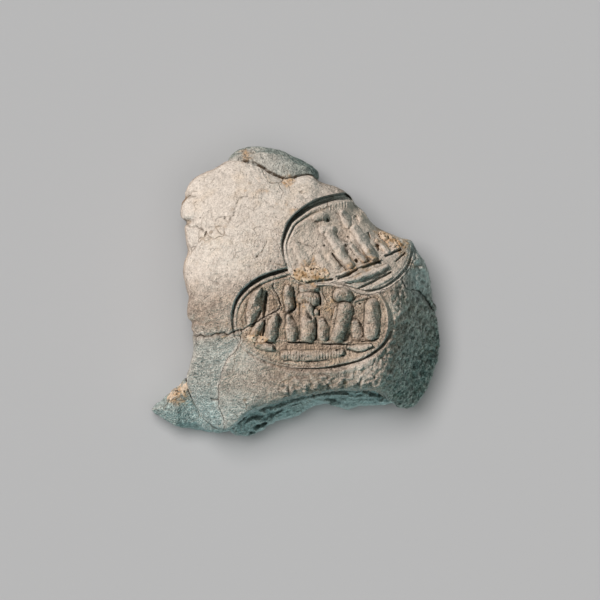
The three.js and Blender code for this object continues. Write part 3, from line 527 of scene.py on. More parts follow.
# The noise's table of random values, how far apart in it neighbours lie, and an offset, in cells,
# that keeps its places above 0.
NOISE_TABLE, NOISE_STRIDES, NOISE_OFFSET = 4096, (1, 57, 1361), 1000

def catmull_rom(a, b, c, d, t):
    return b + (t * (c - a + t * (2 * a - 5 * b + 4 * c - d + t * (3 * (b - c) + d - a)))) / 2


def smooth_path(points, closed=False, steps=8):
    """Even steps along the smooth curve through the points."""
    p = np.array(points, float)
    count = len(p)
    t = (np.arange(steps) / steps)[:, None]
    spans = []
    for k in range(count if closed else count - 1):
        near = [(k + j) % count if closed else min(max(k + j, 0), count - 1) for j in (-1, 0, 1, 2)]
        spans.append(catmull_rom(*(p[n][None] for n in near), t))
    if not closed:
        spans.append(p[-1:])
    return np.concatenate(spans)


def place(points, size):
    """Places in millimetres from shares of the lump's width and length."""
    p = np.array(points, float)
    p[..., 0] *= size["lump_width"]
    p[..., 1] *= size["lump_length"]
    return p


def shares(x, y, size):
    """Places as shares of the lump's width and length."""
    return x / size["lump_width"], y / size["lump_length"]


def smooth_line(points, size):
    """A curve through places given in shares, in millimetres."""
    return place(smooth_path(points, steps=4), size)


def widened(line, half):
    """A stroke of one half width along a line."""
    return np.column_stack([line, np.full(len(line), half)])


def on_grid(grid, points, size):
    """Places and half widths in millimetres from steps of an impression's drawing grid."""
    step = size["lump_width"] / grid["steps"]
    p = np.array(points, float)
    p[..., 0] = (p[..., 0] - grid["middle"][0]) * step
    p[..., 1] = (grid["middle"][1] - p[..., 1]) * step
    p[..., 2:] *= step
    return p


def stroke_reach(stroke, x, y):
    """How far each place is from a stroke's line, as a share of its half width there, and how far
    of that is towards the lower right, the side that the seal left steep."""
    reach = np.full(x.shape, np.inf)
    lee = np.zeros(x.shape)
    for a, b in zip(stroke[:-1], stroke[1:]):
        along = b[:2] - a[:2]
        t = ((x - a[0]) * along[0] + (y - a[1]) * along[1]) / max(along @ along, 1e-9)
        t = np.clip(t, 0, 1)
        right, up = x - a[0] - t * along[0], y - a[1] - t * along[1]
        half = a[2] + t * (b[2] - a[2])
        away = np.hypot(right, up) / half
        nearer = away < reach
        reach = np.where(nearer, away, reach)
        lee = np.where(nearer, (LEE_ACROSS * right + LEE_UP * up) / half, lee)
    return reach, lee


def stroke_height(stroke, x, y, squareness, fullness=None, lean=0):
    """A rounded bar along a stroke, 1 high at its middle and 0 outside, lower on its lee side the
    more it leans."""
    fullness = fullness or 1 / squareness
    height = np.zeros(x.shape)
    widest = stroke[:, 2].max()
    low = stroke[:, :2].min(0) - widest
    high = stroke[:, :2].max(0) + widest
    near = (x > low[0]) & (x < high[0]) & (y > low[1]) & (y < high[1])
    if near.any():
        reach, lee = stroke_reach(stroke, x[near], y[near])
        height[near] = (1 - np.clip(reach, 0, 1) ** squareness) ** fullness * (1 - lean * lee)
    return height


def bell(reach):
    """1 in the middle, falling softly to 0 at a reach of 1."""
    return (1 - np.clip(reach, 0, 1) ** 2) ** 2


def inset(outline, x, y):
    """How far each place lies inside a closed outline; outside it is negative."""
    away = np.full(x.shape, np.inf)
    inside = np.zeros(x.shape, bool)
    for a, b in zip(outline, np.roll(outline, -1, 0)):
        along = b - a
        t = np.clip(((x - a[0]) * along[0] + (y - a[1]) * along[1]) / (along @ along), 0, 1)
        away = np.minimum(away, np.hypot(x - a[0] - t * along[0], y - a[1] - t * along[1]))
        if a[1] != b[1]:
            crosses = (a[1] > y) != (b[1] > y)
            inside ^= crosses & (x < a[0] + (y - a[1]) * along[0] / along[1])
    return np.where(inside, away, -away)


def step_up(low, high, value):
    """0 under low, 1 over high, and smooth between them."""
    t = np.clip((value - low) / (high - low), 0, 1)
    return t * t * (3 - 2 * t)


def value_noise(x, y, z, scale, seed):
    """Smooth noise from -1 to 1, with features as large as scale."""
    rng = np.random.default_rng(seed)
    table = rng.uniform(-1, 1, NOISE_TABLE)
    p = np.stack([x, y, z]) / scale + NOISE_OFFSET
    cell = np.floor(p).astype(np.int64)
    t = p - cell
    t = t * t * (3 - 2 * t)
    total = 0
    for corner in range(8):
        bits = [(corner >> k) & 1 for k in range(3)]
        steps = [(cell[k] + bits[k]) * stride for k, stride in enumerate(NOISE_STRIDES)]
        index = sum(steps) % NOISE_TABLE
        weight = np.prod([t[k] if bits[k] else 1 - t[k] for k in range(3)], axis=0)
        total = total + table[index] * weight
    return total


def cloud(x, y, z, layers):
    """The sum of several layers of noise."""
    return sum(strength * value_noise(x, y, z, scale, seed) for strength, scale, seed in layers)


def flat_cloud(x, y, layers):
    return cloud(x, y, 0 * x, layers)


def from_table(value, table):
    """The second column of a table where its first passes a value."""
    return np.interp(value, *np.transpose(table))


# Forms


def radius_table(outline, heart):
    """An outline as radius by angle round its heart."""
    offset = outline - heart
    angle = np.arctan2(offset[:, 1], offset[:, 0])
    order = np.argsort(angle)
    return angle[order], np.hypot(offset[:, 0], offset[:, 1])[order]


def face_height(x, y, size):
    """The height of the stamped face before it rounds off at the jacket's edge."""
    rows = np.array(FACE_HEIGHTS)
    last = len(rows) - 1
    u, v = shares(x, y, size)
    across, down = np.clip(last * (u + 0.5), 0, last), np.clip(last * (0.5 - v), 0, last)
    column = np.minimum(last - 1, np.floor(across)).astype(int)
    row = np.minimum(last - 1, np.floor(down)).astype(int)

    def in_row(r):
        near = [rows[np.clip(r, 0, last), np.clip(column + k, 0, last)] for k in (-1, 0, 1, 2)]
        return catmull_rom(*near, across - column)

    heights = [in_row(row + k) for k in (-1, 0, 1, 2)]
    return size["lump_thickness"] * catmull_rom(*heights, down - row)


def jacket_form(size, grow=0):
    return {
        "outline": smooth_path(place(JACKET_OUTLINE, size), closed=True),
        "heart": place([JACKET_HEART], size)[0],
        "rim": size["rim_height"],
        "top": lambda x, y: face_height(x, y, size),
        "squareness": JACKET_SQUARENESS,
        "lower_squareness": LOWER_SQUARENESS,
        "grow": grow,
    }


def small_form(shape, size, grow=0):
    heart = place([shape["heart"]], size)[0]
    return {
        "outline": smooth_path(place(shape["outline"], size), closed=True),
        "heart": heart,
        "rim": shape["rim"],
        "top": lambda x, y: shape["level"] + shape["slope"] * (y - heart[1]),
        "squareness": SMALL_SQUARENESS,
        "lower_squareness": 0,
        "grow": grow,
    }


def reach_of(form, x, y):
    """Each place's share of the way from the form's heart to its outline."""
    angle, radius = radius_table(form["outline"], form["heart"])
    dx, dy = x - form["heart"][0], y - form["heart"][1]
    edge = np.interp(np.arctan2(dy, dx), angle, radius, period=2 * math.pi) + form["grow"]
    return np.hypot(dx, dy) / edge


def dome_height(form, x, y, reach):
    """The height of a form's top: level in the middle and round at its rim, more squarely so
    towards the lower edge."""
    dx, dy = x - form["heart"][0], y - form["heart"][1]
    downward = np.clip(LOWER_START - dy / (np.hypot(dx, dy) + 1e-6), 0, 1)
    power = form["squareness"] + form["lower_squareness"] * downward
    dome = (1 - np.clip(reach, 0, 1) ** power) ** (1 / power)
    top = form["top"](x, y) + form["grow"]
    return form["rim"] + (top - form["rim"]) * dome


def vectors(elements, key):
    values = np.empty(len(elements) * 3)
    elements.foreach_get(key, values)
    return values.reshape(-1, 3)


def get_points(mesh):
    return vectors(mesh.vertices, "co")


def get_normals(mesh):
    return vectors(mesh.vertices, "normal")


def set_points(mesh, points):
    mesh.vertices.foreach_set("co", np.ascontiguousarray(points, np.float32).ravel())
    mesh.update()


def deselect_all():
    for item in bpy.context.selected_objects:
        item.select_set(False)


def pick(item):
    """Makes an object the only selected and active one."""
    deselect_all()
    item.select_set(True)
    bpy.context.view_layer.objects.active = item
    return item


def named(name):
    """The newest primitive, under its own name."""
    item = bpy.context.active_object
    item.name = item.data.name = name
    return item


def apply_modifier(item, kind, **settings):
    pick(item)
    modifier = item.modifiers.new(kind.title(), kind)
    for key, value in settings.items():
        setattr(modifier, key, value)
    bpy.ops.object.modifier_apply(modifier=modifier.name)
    return item


def shaped_lump(name, form, mesh=LUMP_MESH):
    """A sphere shaped into a form: narrow at the bed, widest at the rim, domed over the top."""
    deselect_all()
    bpy.ops.mesh.primitive_uv_sphere_add(segments=mesh[0], ring_count=mesh[1], radius=1)
    item = named(name)
    p = get_points(item.data)
    around = np.arctan2(p[:, 1], p[:, 0])
    up = np.arcsin(np.clip(p[:, 2], -1, 1)) / (math.pi / 2)
    angle, radius = radius_table(form["outline"], form["heart"])
    edge = np.interp(around, angle, radius, period=2 * math.pi) + form["grow"]
    section = np.array(BED_SECTION)
    turns = np.linspace(0, BED_TURN, len(section))
    bed_reach, bed_height = (np.interp(-up, turns, column) for column in section.T)
    bed_reach = np.where(up < -BED_TURN, section[-1, 0] * (1 + up) / (1 - BED_TURN), bed_reach)
    reach = np.where(up > 0, np.cos(up * math.pi / 2), bed_reach)
    x = form["heart"][0] + edge * reach * np.cos(around)
    y = form["heart"][1] + edge * reach * np.sin(around)
    low = bed_height * (form["rim"] + form["grow"]) - form["grow"]
    z = np.where(up > 0, dome_height(form, x, y, reach), low)
    set_points(item.data, np.stack([x, y, z], 1))
    return item


def remeshed(item, grain):
    return apply_modifier(item, "REMESH", mode="VOXEL", voxel_size=grain, use_smooth_shade=True)


def roughened(item, strength, scale, seed, depth=2):
    """Moves the surface in and out with a cloudy noise, its strength in millimetres."""
    p, n = get_points(item.data), get_normals(item.data)
    total = 0
    for octave in range(depth):
        noise = value_noise(*p.T, scale / 2**octave, seed + octave)
        total = total + noise / 2**octave
    set_points(item.data, p + n * (total * strength)[:, None])
    return item


def combine(item, tool, operation):
    """Cuts, joins or intersects an object with another."""
    before = len(item.data.vertices)
    apply_modifier(item, "BOOLEAN", operation=operation, object=tool, solver="MANIFOLD")
    if len(item.data.vertices) in (0, before):
        raise RuntimeError(f"{item.name}: the {operation.lower()} with {tool.name} changed nothing")
    bpy.data.objects.remove(tool, do_unlink=True)
    return item


def copy_of(item, name):
    twin = item.copy()
    twin.data = item.data.copy()
    twin.name = twin.data.name = name
    bpy.context.scene.collection.objects.link(twin)
    return twin


def without_crumbs(item):
    """Keeps only the biggest body of an object."""
    mesh = bmesh.new()
    mesh.from_mesh(item.data)
    left = set(mesh.verts)
    bodies = []
    while left:
        seed = left.pop()
        body, front = [seed], [seed]
        while front:
            nearby = [e.other_vert(v) for v in front for e in v.link_edges]
            front = [v for v in dict.fromkeys(nearby) if v in left]
            left.difference_update(front)
            body.extend(front)
        bodies.append(body)
    bodies.sort(key=len)
    for body in bodies[:-1]:
        bmesh.ops.delete(mesh, geom=body, context="VERTS")
    mesh.to_mesh(item.data)
    mesh.free()
    return item


def prism(name, loop, low, high):
    """A closed outline stood up from one height to another."""
    mesh = bmesh.new()
    bottom = [mesh.verts.new((x, y, low)) for x, y in loop]
    face = mesh.faces.new(bottom)
    face.normal_update()
    if face.normal.z > 0:
        face.normal_flip()
    grown = bmesh.ops.extrude_face_region(mesh, geom=[face], use_keep_orig=True)
    for v in grown["geom"]:
        if isinstance(v, bmesh.types.BMVert):
            v.co.z = high
    bmesh.ops.triangulate(mesh, faces=mesh.faces)
    bmesh.ops.recalc_face_normals(mesh, faces=mesh.faces)
    data = bpy.data.meshes.new(name)
    mesh.to_mesh(data)
    mesh.free()
    item = bpy.data.objects.new(name, data)
    bpy.context.scene.collection.objects.link(item)
    return item


def ragged(path, amount, seed):
    """A path with small broken-clay kinks, its ends kept."""
    p = np.array(path, float)
    along = np.concatenate([[0], np.cumsum(np.hypot(*np.diff(p[:, :2], axis=0).T))])
    even = np.linspace(0, along[-1], max(3, int(along[-1] / RAGGED_STEP)))
    fine = np.stack([np.interp(even, along, column) for column in p.T], 1)
    direction = np.gradient(fine[:, :2], axis=0)
    direction /= np.maximum(np.hypot(*direction.T), 1e-9)[:, None]
    rng = np.random.default_rng(seed)
    kink = rng.normal(0, FINE_KINK, len(fine))
    wide = rng.normal(0, WIDE_KINK, len(fine) + KINK_SPREAD - 1)
    kink = kink + np.convolve(wide, np.ones(KINK_SPREAD) / 3, "valid")
    kink[[0, -1]] = 0
    side = np.stack([-direction[:, 1], direction[:, 0]], 1)
    fine[:, :2] += side * (np.clip(kink, -LARGEST_KINK, LARGEST_KINK) * amount)[:, None]
    return fine


def breaks(size):
    """The ragged lines of the old breaks."""
    lines = {
        "left": LEFT_BREAK,
        "face": [LEFT_BREAK[-1], *FACE_BREAK],
        "seam": [FACE_BREAK[-1], *SHOULDER_SEAM],
        "flank": [FACE_BREAK[-1], *FLANK_CRACK],
        "cheek": [LEFT_BREAK[-1], *CHEEK_SEAM],
    }
    return {
        name: ragged(place(line, size), BREAK_KINKS, BREAK_SEED + k)
        for k, (name, line) in enumerate(lines.items())
    }


def worn_lines(size):
    """The rubbed edges of the breaks and the hairline cracks, each with its depth."""
    lines = breaks(size)
    worn = []
    for name, part, half, drop in WORN_BREAKS:
        line = lines[name][: len(lines[name]) // part]
        worn.append((widened(line, half), drop))
    thin = (size["lump_width"], size["lump_length"], HAIRLINE_WIDTH)
    for drop, points in HAIRLINES:
        line = ragged(np.array(points) * thin, HAIRLINE_KINKS, HAIRLINE_SEED)
        worn.append((line, HAIRLINE_DEPTH * drop))
    return worn


def shrunk(loop, amount):
    """A closed loop moved inwards."""
    p = np.array(loop)
    ahead, behind = np.roll(p, -1, 0), np.roll(p, 1, 0)
    along = ahead - behind
    side = np.stack([-along[:, 1], along[:, 0]], 1)
    side /= np.maximum(np.hypot(*side.T), 1e-9)[:, None]
    turning = np.sum(p[:, 0] * ahead[:, 1] - ahead[:, 0] * p[:, 1])
    return p + side * amount * np.sign(turning)


# The stamped surface


def first_outline(size):
    oval = FIRST_OVAL
    angle = np.linspace(0, 2 * math.pi, oval["steps"], endpoint=False)
    bulge = 2 / oval["squareness"]
    across = np.sign(np.cos(angle)) * np.abs(np.cos(angle)) ** bulge * oval["half"][0]
    down = np.sign(np.sin(angle)) * np.abs(np.sin(angle)) ** bulge * oval["half"][1]
    points = np.stack([across + oval["middle"][0], down + oval["middle"][1]], 1)
    return on_grid(FIRST_GRID, points, size)


def second_outline(size):
    return on_grid(SECOND_GRID, smooth_path(SECOND_OUTLINE, closed=True, steps=5), size)


def device(x, y, stamp, size):
    """The height of a stamp's worn figures over its floor, and the depth of the cuts."""
    drift_x, drift_y = STROKE_DRIFTS
    x = x + flat_cloud(x, y, drift_x)
    y = y + flat_cloud(x, y, drift_y)
    figures, cuts = np.zeros(x.shape), np.zeros(x.shape)
    for rise, points in stamp["raised"]:
        stroke = on_grid(stamp["grid"], smooth_path(points, steps=4), size)
        bar = stroke_height(stroke, x, y, BAR_SQUARENESS, BAR_FULLNESS, BAR_LEAN)
        top = BAR_LEAST_RISE + BAR_RISE_BY_WIDTH * stroke[:, 2].max()
        figures = np.maximum(figures, bar * top * rise * size["figure_rise"])
    for drop, points in stamp["cut"]:
        stroke = on_grid(stamp["grid"], smooth_path(points, steps=4), size)
        cuts = np.maximum(cuts, stroke_height(stroke, x, y, CUT_SQUARENESS) * drop)
    return figures * (1 + flat_cloud(x, y, FIGURE_WEAR)), cuts


def impression(x, y, inward, stamp, size):
    """The height of an impression against the face, with its border and its device."""
    middle = place([stamp["middle"]], size)[0]
    around = np.degrees(np.arctan2(y - middle[1], x - middle[0])) % 360
    turns, *columns = np.transpose(stamp["ring"])
    drop, outer, inner, width = (np.interp(around, turns, column, period=360) for column in columns)
    height = -from_table(inward, WALL_SECTION) * drop
    height = height - size[stamp["bowl"]] * step_up(*BOWL_SPREAD, inward)
    lee = 0.5 - 0.5 * np.cos(np.radians(around - LEE_TURN))
    for line, share in ((OUTER_LINE, 1 - lee), (LEE_LINE, lee)):
        height = height + from_table(inward / width, line) * outer * share
    height = height + from_table(inward / width, INNER_LINE) * inner
    figures, cuts = device(x, y, stamp, size)
    return height + figures * step_up(*FIGURE_EDGE, inward) - cuts * step_up(*CUT_EDGE, inward)


def striations(x, y, size):
    """The fine ribs of the band under the figures, of the wig over the central one and under the
    upper border."""
    spacing = RIB_STEPS * size["lump_width"] / FIRST_GRID["steps"]
    ribs = 0.5 - 0.5 * np.cos(2 * math.pi * x / spacing)
    strips = 0
    for grid, points in ((FIRST_GRID, BAND), (FIRST_GRID, WIG), (SECOND_GRID, COMB)):
        strip = on_grid(grid, points, size)
        strips = np.maximum(strips, stroke_height(strip, x, y, STRIP_SQUARENESS))
    return -RIB_DEPTH * (1 + flat_cloud(x, y, RIB_WEAR)) * ribs * strips


def in_impressions(x, y, size):
    """How far each place lies inside the first and the second impression."""
    wobble = flat_cloud(x, y, EDGE_WOBBLE)
    return inset(first_outline(size), x, y) + wobble, inset(second_outline(size), x, y) + wobble


def relief(x, y, size):
    """How far the stamping, cracks and pits move each place of the face up or down."""
    first_in, second_in = in_impressions(x, y, size)
    first = impression(x, y, first_in, FIRST_STAMP, size)
    second = impression(x, y, second_in, SECOND_STAMP, size)
    over = step_up(*OVERLAP, second_in)
    height = first * (1 - over) + second * over + striations(x, y, size)
    for line, drop in worn_lines(size):
        height = height - drop * stroke_height(line, x, y, CRACK_SQUARENESS)
    for points, width, drop in SOFT_FOLDS:
        reach, _ = stroke_reach(widened(smooth_line(points, size), width), x, y)
        height = height - drop * bell(reach)
    outside = 1 - step_up(*PIT_EDGE, np.maximum(first_in, second_in))
    height = height + brow(x, y, size) + seam_lap(x, y, size)
    return height - pits(x, y, size) * (STAMPED_PITS + (1 - STAMPED_PITS) * outside)


def brow(x, y, size):
    """The swelling that keeps the face level up to its right and its lower edge."""
    rise = np.zeros(x.shape)
    for points, inward, outward, top in BROWS:
        away, lee = stroke_reach(widened(smooth_line(points, size), 1), x, y)
        rise = np.maximum(rise, top * bell(away / np.where(lee > 0, outward, inward)))
    return rise


def seam_lap(x, y, size):
    """The lobe's soft lip over the cheek, right of their seam."""
    seam = place([LEFT_BREAK[-1], *CHEEK_SEAM], size)
    side = x - np.interp(y, seam[::-1, 1], seam[::-1, 0])
    lip = LIP_HEIGHT * step_up(*LIP_EDGE, side) * np.exp(-((side / LIP_WIDTH) ** 2))
    sunk = SUNK_DEPTH * (1 - step_up(*SUNK_EDGE, side)) * np.exp(-((side / SUNK_WIDTH) ** 2))
    return (lip - sunk) * step_up(*SEAM_START, -y / size["lump_length"])


def pits(x, y, size):
    """Small pits and air bubbles over the face, deeper towards the lower right."""
    rng = np.random.default_rng(PIT_SEED)
    spots = [(*place([spot], size)[0], *PLACED_PIT) for spot in PIT_PLACES]
    for _ in range(PIT_COUNT):
        px, py = rng.uniform(-0.5, 0.5, 2) * (size["lump_width"], size["lump_length"])
        radius = LEAST_PIT + PIT_SPAN * rng.random() ** 3
        spots.append((px, py, radius, PIT_DEPTH * radius * (1 + (px - py > FLANK_START))))
    depth = np.zeros(x.shape)
    for px, py, radius, drop in spots:
        near = (abs(x - px) < radius) & (abs(y - py) < radius)
        away = np.hypot(x[near] - px, y[near] - py) / radius
        depth[near] = np.maximum(depth[near], drop * np.clip(1 - away**2, 0, 1))
    return depth


def surface_height(x, y, size):
    """The height of the finished face over each place."""
    form = jacket_form(size)
    return dome_height(form, x, y, reach_of(form, x, y)) + relief(x, y, size)


# Finishes

# How often a surface is smoothed to tell its hollows, and how often the result is.
SMOOTHINGS, LIFT_SMOOTHINGS = 10, 2

def hollow_lift(item):
    """How far each vertex lies under its smoothed surroundings, in millimetres; less than 0 on a
    ridge."""
    mesh = item.data
    edges = np.empty(len(mesh.edges) * 2, np.int64)
    mesh.edges.foreach_get("vertices", edges)
    a, b = edges.reshape(-1, 2).T
    points, normals = get_points(mesh), get_normals(mesh)
    count = np.maximum(np.bincount(a, minlength=len(points)) + np.bincount(b, minlength=len(points)), 1)

    def spread(values):
        total = np.zeros_like(values)
        np.add.at(total, a, values[b])
        np.add.at(total, b, values[a])
        return total / count[:, None]

    smooth = points
    for _ in range(SMOOTHINGS):
        smooth = 0.5 * smooth + 0.5 * spread(smooth)
    lift = np.sum((smooth - points) * normals, 1)[:, None]
    for _ in range(LIFT_SMOOTHINGS):
        lift = 0.5 * lift + 0.5 * spread(lift)
    return lift[:, 0]


def store(item, name, values):
    attribute = item.data.attributes.new(name, "FLOAT", "POINT")
    attribute.data.foreach_set("value", np.ascontiguousarray(values, np.float32))


def blob(x, y, size, places):
    """A soft patch round each place given in shares, with a radius in shares."""
    total = np.zeros(x.shape)
    u, v = shares(x, y, size)
    for px, py, radius, strength in places:
        away = np.hypot(u - px, v - py) / radius
        total = np.maximum(total, strength * np.exp(-(away**2)))
    return total


# Soft patches of soil, of pale clay that is partly painted light, and of painted light on the shoulder and
# in the flank: place, radius and strength.
SOIL_PLACES = [
    (0.05, 0.06, 0.06, 1.0), (0.09, 0.05, 0.04, 0.8), (-0.13, -0.16, 0.035, 1.0),
    (0.31, 0.19, 0.06, 0.9), (0.37, 0.14, 0.03, 0.8), (0.25, 0.1, 0.05, 0.8),
    (0.2, 0.08, 0.05, 0.75), (-0.03, 0.38, 0.03, 0.9), (-0.385, 0.32, 0.02, 0.9),
    (-0.05, -0.02, 0.03, 0.6), (-0.09, 0.0, 0.03, 0.4), (0.02, -0.05, 0.04, 0.7),
    (0.05, -0.02, 0.03, 0.5), (0.11, -0.05, 0.05, 0.6), (-0.405, -0.35, 0.05, 1.0),
    (0.36, 0.0, 0.05, 0.4), (-0.13, 0.35, 0.08, 0.45), (-0.02, 0.28, 0.08, 0.4),
    (-0.17, 0.465, 0.03, 0.9), (0.14, 0.34, 0.04, 0.4), (-0.25, -0.14, 0.06, 0.45),
    (0.395, 0.1, 0.025, 0.8), (0.38, 0.17, 0.025, 0.8), (0.16, -0.32, 0.05, 0.4),
    (-0.22, 0.24, 0.06, 0.4),
]
PALE_PLACES = [
    (-0.19, -0.23, 0.06, 0.65), (0.22, -0.26, 0.07, 0.65), (0.345, -0.06, 0.05, 0.7),
    (0.43, 0.07, 0.05, 0.5), (-0.22, -0.07, 0.05, 0.3), (-0.24, -0.43, 0.07, 0.4),
]
LAP_PALE_PLACES = [(-0.05, 0.45, 0.08, 0.3)]
SHOULDER_LIGHT_PLACES = [(0.43, 0.08, 0.085, 1)]
FLANK_LIGHT_PLACES = [(0.42, -0.08, 0.1, 0.45)]
JACKET = ("crown", "front_lobe", "left_cheek", "right_shoulder")
# How pale, cool and green the pieces outside the jacket are.
OTHER_TONES = {
    "back_wad": (0, 0.35, 0.45), "inner_core": (0.4, 0.75, 0.1), "top_lap": (0.4, 0.3, 0.1),
    "corner_spur": (0.3, 0.85, 0),
}
# Where each tone sets in, where it is full, and how far the noise moves both. The values are
# shares of the lump across or up, parts of a normal, or millimetres of depth or rise.
TONE_RAMPS = {
    "hollow": (0.003, 0.045, 0), "crest": (0.003, 0.035, 0), "crust_hollow": (0.002, 0.03, 0),
    "pale_and_lit": (-0.02, 0.26, 0.05), "pale_above": (-0.08, 0.1, 0.03), "lit_upward": (0.1, 0.6, 0),
    "rightward": (-0.2, 0, 0.03), "below": (0.1, 0.2, 0), "foot": (0.3, 0.43, 0.02),
    "turned_shade": (0.45, 0.85, 0), "flank": (-0.04, 0.04, 0.03), "level": (0.1, 0.5, 0),
    "shoulder_up": (-0.07, 0.05, 0), "shoulder_across": (0.36, 0.42, 0),
    "second_end": (0.3, 0.6, 0), "stamped": (0.3, 1.1, 0), "figure": (0.15, 0.45, 0),
    "lap_crack": (-0.2, -0.18, 0), "lap_across": (-0.06, 0.05, 0), "lap_level": (0.2, 0.6, 0),
    "spur_across": (-0.4, -0.28, 0), "soil": (0.4, 0.8, 0), "stain": (0.25, 0.6, 0),
    "dirt": (-0.9, 0.1, 0.5),
}
# The pale plane faces up and to the left, towards the key lamp, and is painted lighter there as well as
# being paler clay: what a share across and a share up count for.
PALE_ACROSS, PALE_UP = -0.75, 0.65
# How strong each tone is at its fullest, or how much of another it takes away.
CHEEK_COOL, LOBE_COOL = 0.45, 0.15
FOOT_COOL, FOOT_GREEN = 0.4, 0.25
# How much cool and green the shoulder's painted light takes away.
SHOULDER_COOL_LOSS, SHOULDER_GREEN_LOSS = 0.5, 0.95
# The lap's steep edges are painted green as shade.
LAP_ACROSS_GREEN, LAP_SIDE_SHADE, SPUR_GREEN = 0.5, 0.7, 0.55
# Where the flank's painted shade starts, by share up; its green is partly the clay's own tone.
FLANK_SHADE_EDGE = [(-0.6, 0.183), (-0.18, 0.372)]
# Painted rim light: how much the lighter cool tone takes the place of the green on steep faces and the
# shoulder.
RIM_LIGHT = 0.8
SECOND_PALE, SECOND_TAN_LOSS, SECOND_FIGURE_LOSS = 0.85, 0.65, 0.75
# The soil: how the grain and the hollows shape its patches, how much stain lies in the hollows and
# how the grain shapes that, and the height in millimetres under which there is none.
SOIL_GRAIN, SOIL_HOLLOWS, STAIN, STAIN_GRAIN, SOIL_FLOOR = 0.35, 0.4, 0.5, 0.2, 2.5
# How far towards the ground a face may look and still be stamped.
STAMPED_TILT = -0.2
# The crack under the lap: over which share up, left of which share across, and its width in
# millimetres.
LAP_CRACK_ABOVE, LAP_CRACK_LEFT, LAP_CRACK_WIDTH = 0.33, 0.075, 0.07
# The dirt of a crack: its width by the crack's, and its strength by the crack's depth. Then how
# near the jacket, in millimetres, the other pieces are fully dirty, how far the noise moves that
# and their tones, and how far out any dirt reaches.
CRACK_SPREAD, CRACK_DIRT = 1.3, 3.5
SEAM_DIRT_FULL, SEAM_DIRT_DRIFT, OTHER_DRIFT = 0.03, 0.1, 0.25
SEAM_DIRT_REACH = {"corner_spur": 0.3, "inner_core": 0.18, "top_lap": 0.18}


def ramp(name, value, noise=0):
    """How far a tone has set in at a value."""
    low, high, drift = TONE_RAMPS[name]
    return step_up(low, high, value + drift * noise)


def jacket_tones(x, y, z, n, noise, size):
    """The tones of the jacket, which run on from one piece to the next."""
    u, v = shares(x, y, size)
    # Painted light: the plane facing the key lamp, and faces that look upward, are painted paler on top of
    # the clay's paler tone.
    pale_and_lit = ramp("pale_and_lit", PALE_UP * v + PALE_ACROSS * u, noise) * ramp("pale_above", v, noise)
    pale_and_lit = pale_and_lit * ramp("lit_upward", 0.2 + 0.8 * n[:, 2])
    left = 1 - ramp("rightward", u, noise)
    foot = ramp("foot", -v, noise) * left
    seam = from_table(v, [(b, a) for a, b in reversed([LEFT_BREAK[-1], *CHEEK_SEAM])])
    cool_and_painted_light = ramp("below", -v) * np.where(u < seam, CHEEK_COOL, LOBE_COOL) * left + FOOT_COOL * foot
    # Painted shade: faces turned to the right and down, away from the key lamp, are painted green on the
    # right and cool on the left.
    turned_shade = ramp("turned_shade", 0.7 * n[:, 0] - 0.7 * n[:, 1])
    # Painted shade: the flank right of its edge is painted green, as are faces turned away on the right.
    green = np.maximum(ramp("flank", u - from_table(v, FLANK_SHADE_EDGE), noise), turned_shade * (1 - left))
    # Painted rim light: steep faces and the shoulder take the lighter cool tone in place of the green.
    shoulder = ramp("shoulder_up", v) * ramp("shoulder_across", u)
    rim = np.maximum(1 - ramp("level", n[:, 2]), shoulder)
    cool_and_painted_light = np.maximum(np.maximum(cool_and_painted_light, turned_shade * left), RIM_LIGHT * green * rim)
    green = green * (1 - RIM_LIGHT * rim)

    first_in, second_in = in_impressions(x, y, size)
    over = step_up(*OVERLAP, second_in)
    pale_and_lit = np.maximum(pale_and_lit, SECOND_PALE * over * (1 - ramp("second_end", u)))
    pale_and_lit = np.maximum(pale_and_lit, blob(x, y, size, PALE_PLACES))
    # Painted light on the shoulder and in the flank: paler there, less cool and less green.
    lit = blob(x, y, size, SHOULDER_LIGHT_PLACES)
    pale_and_lit, cool_and_painted_light = np.maximum(pale_and_lit, lit), cool_and_painted_light * (1 - SHOULDER_COOL_LOSS * lit)
    green = green * (1 - SHOULDER_GREEN_LOSS * lit) * (1 - blob(x, y, size, FLANK_LIGHT_PLACES))
    green = np.maximum(green, FOOT_GREEN * foot)

    stamped = ramp("stamped", np.maximum(first_in, second_in)) * (n[:, 2] > STAMPED_TILT)
    stamped = stamped * (z > size["rim_height"])
    first, second = (device(x, y, stamp, size)[0] for stamp in (FIRST_STAMP, SECOND_STAMP))
    figure = ramp("figure", first * (1 - over) + second * over) * stamped
    tan = (stamped - figure) * (1 - SECOND_TAN_LOSS * over) * (1 - green)

    at_edge = inset(jacket_form(size)["outline"], x, y) < LAP_CRACK_WIDTH
    dirt = (v > LAP_CRACK_ABOVE) * (u < LAP_CRACK_LEFT) * at_edge * ramp("lap_crack", u)
    for line, drop in worn_lines(size):
        wider = line * (1, 1, CRACK_SPREAD)
        stained = stroke_height(wider, x, y, DIRT_SQUARENESS) * min(1, CRACK_DIRT * drop)
        dirt = np.maximum(dirt, stained)
    return {
        "pale_and_lit": pale_and_lit, "cool_and_painted_light": cool_and_painted_light, "green": green, "tan": tan, "dirt": dirt,
        "figure": figure * (1 - SECOND_FIGURE_LOSS * over),
    }


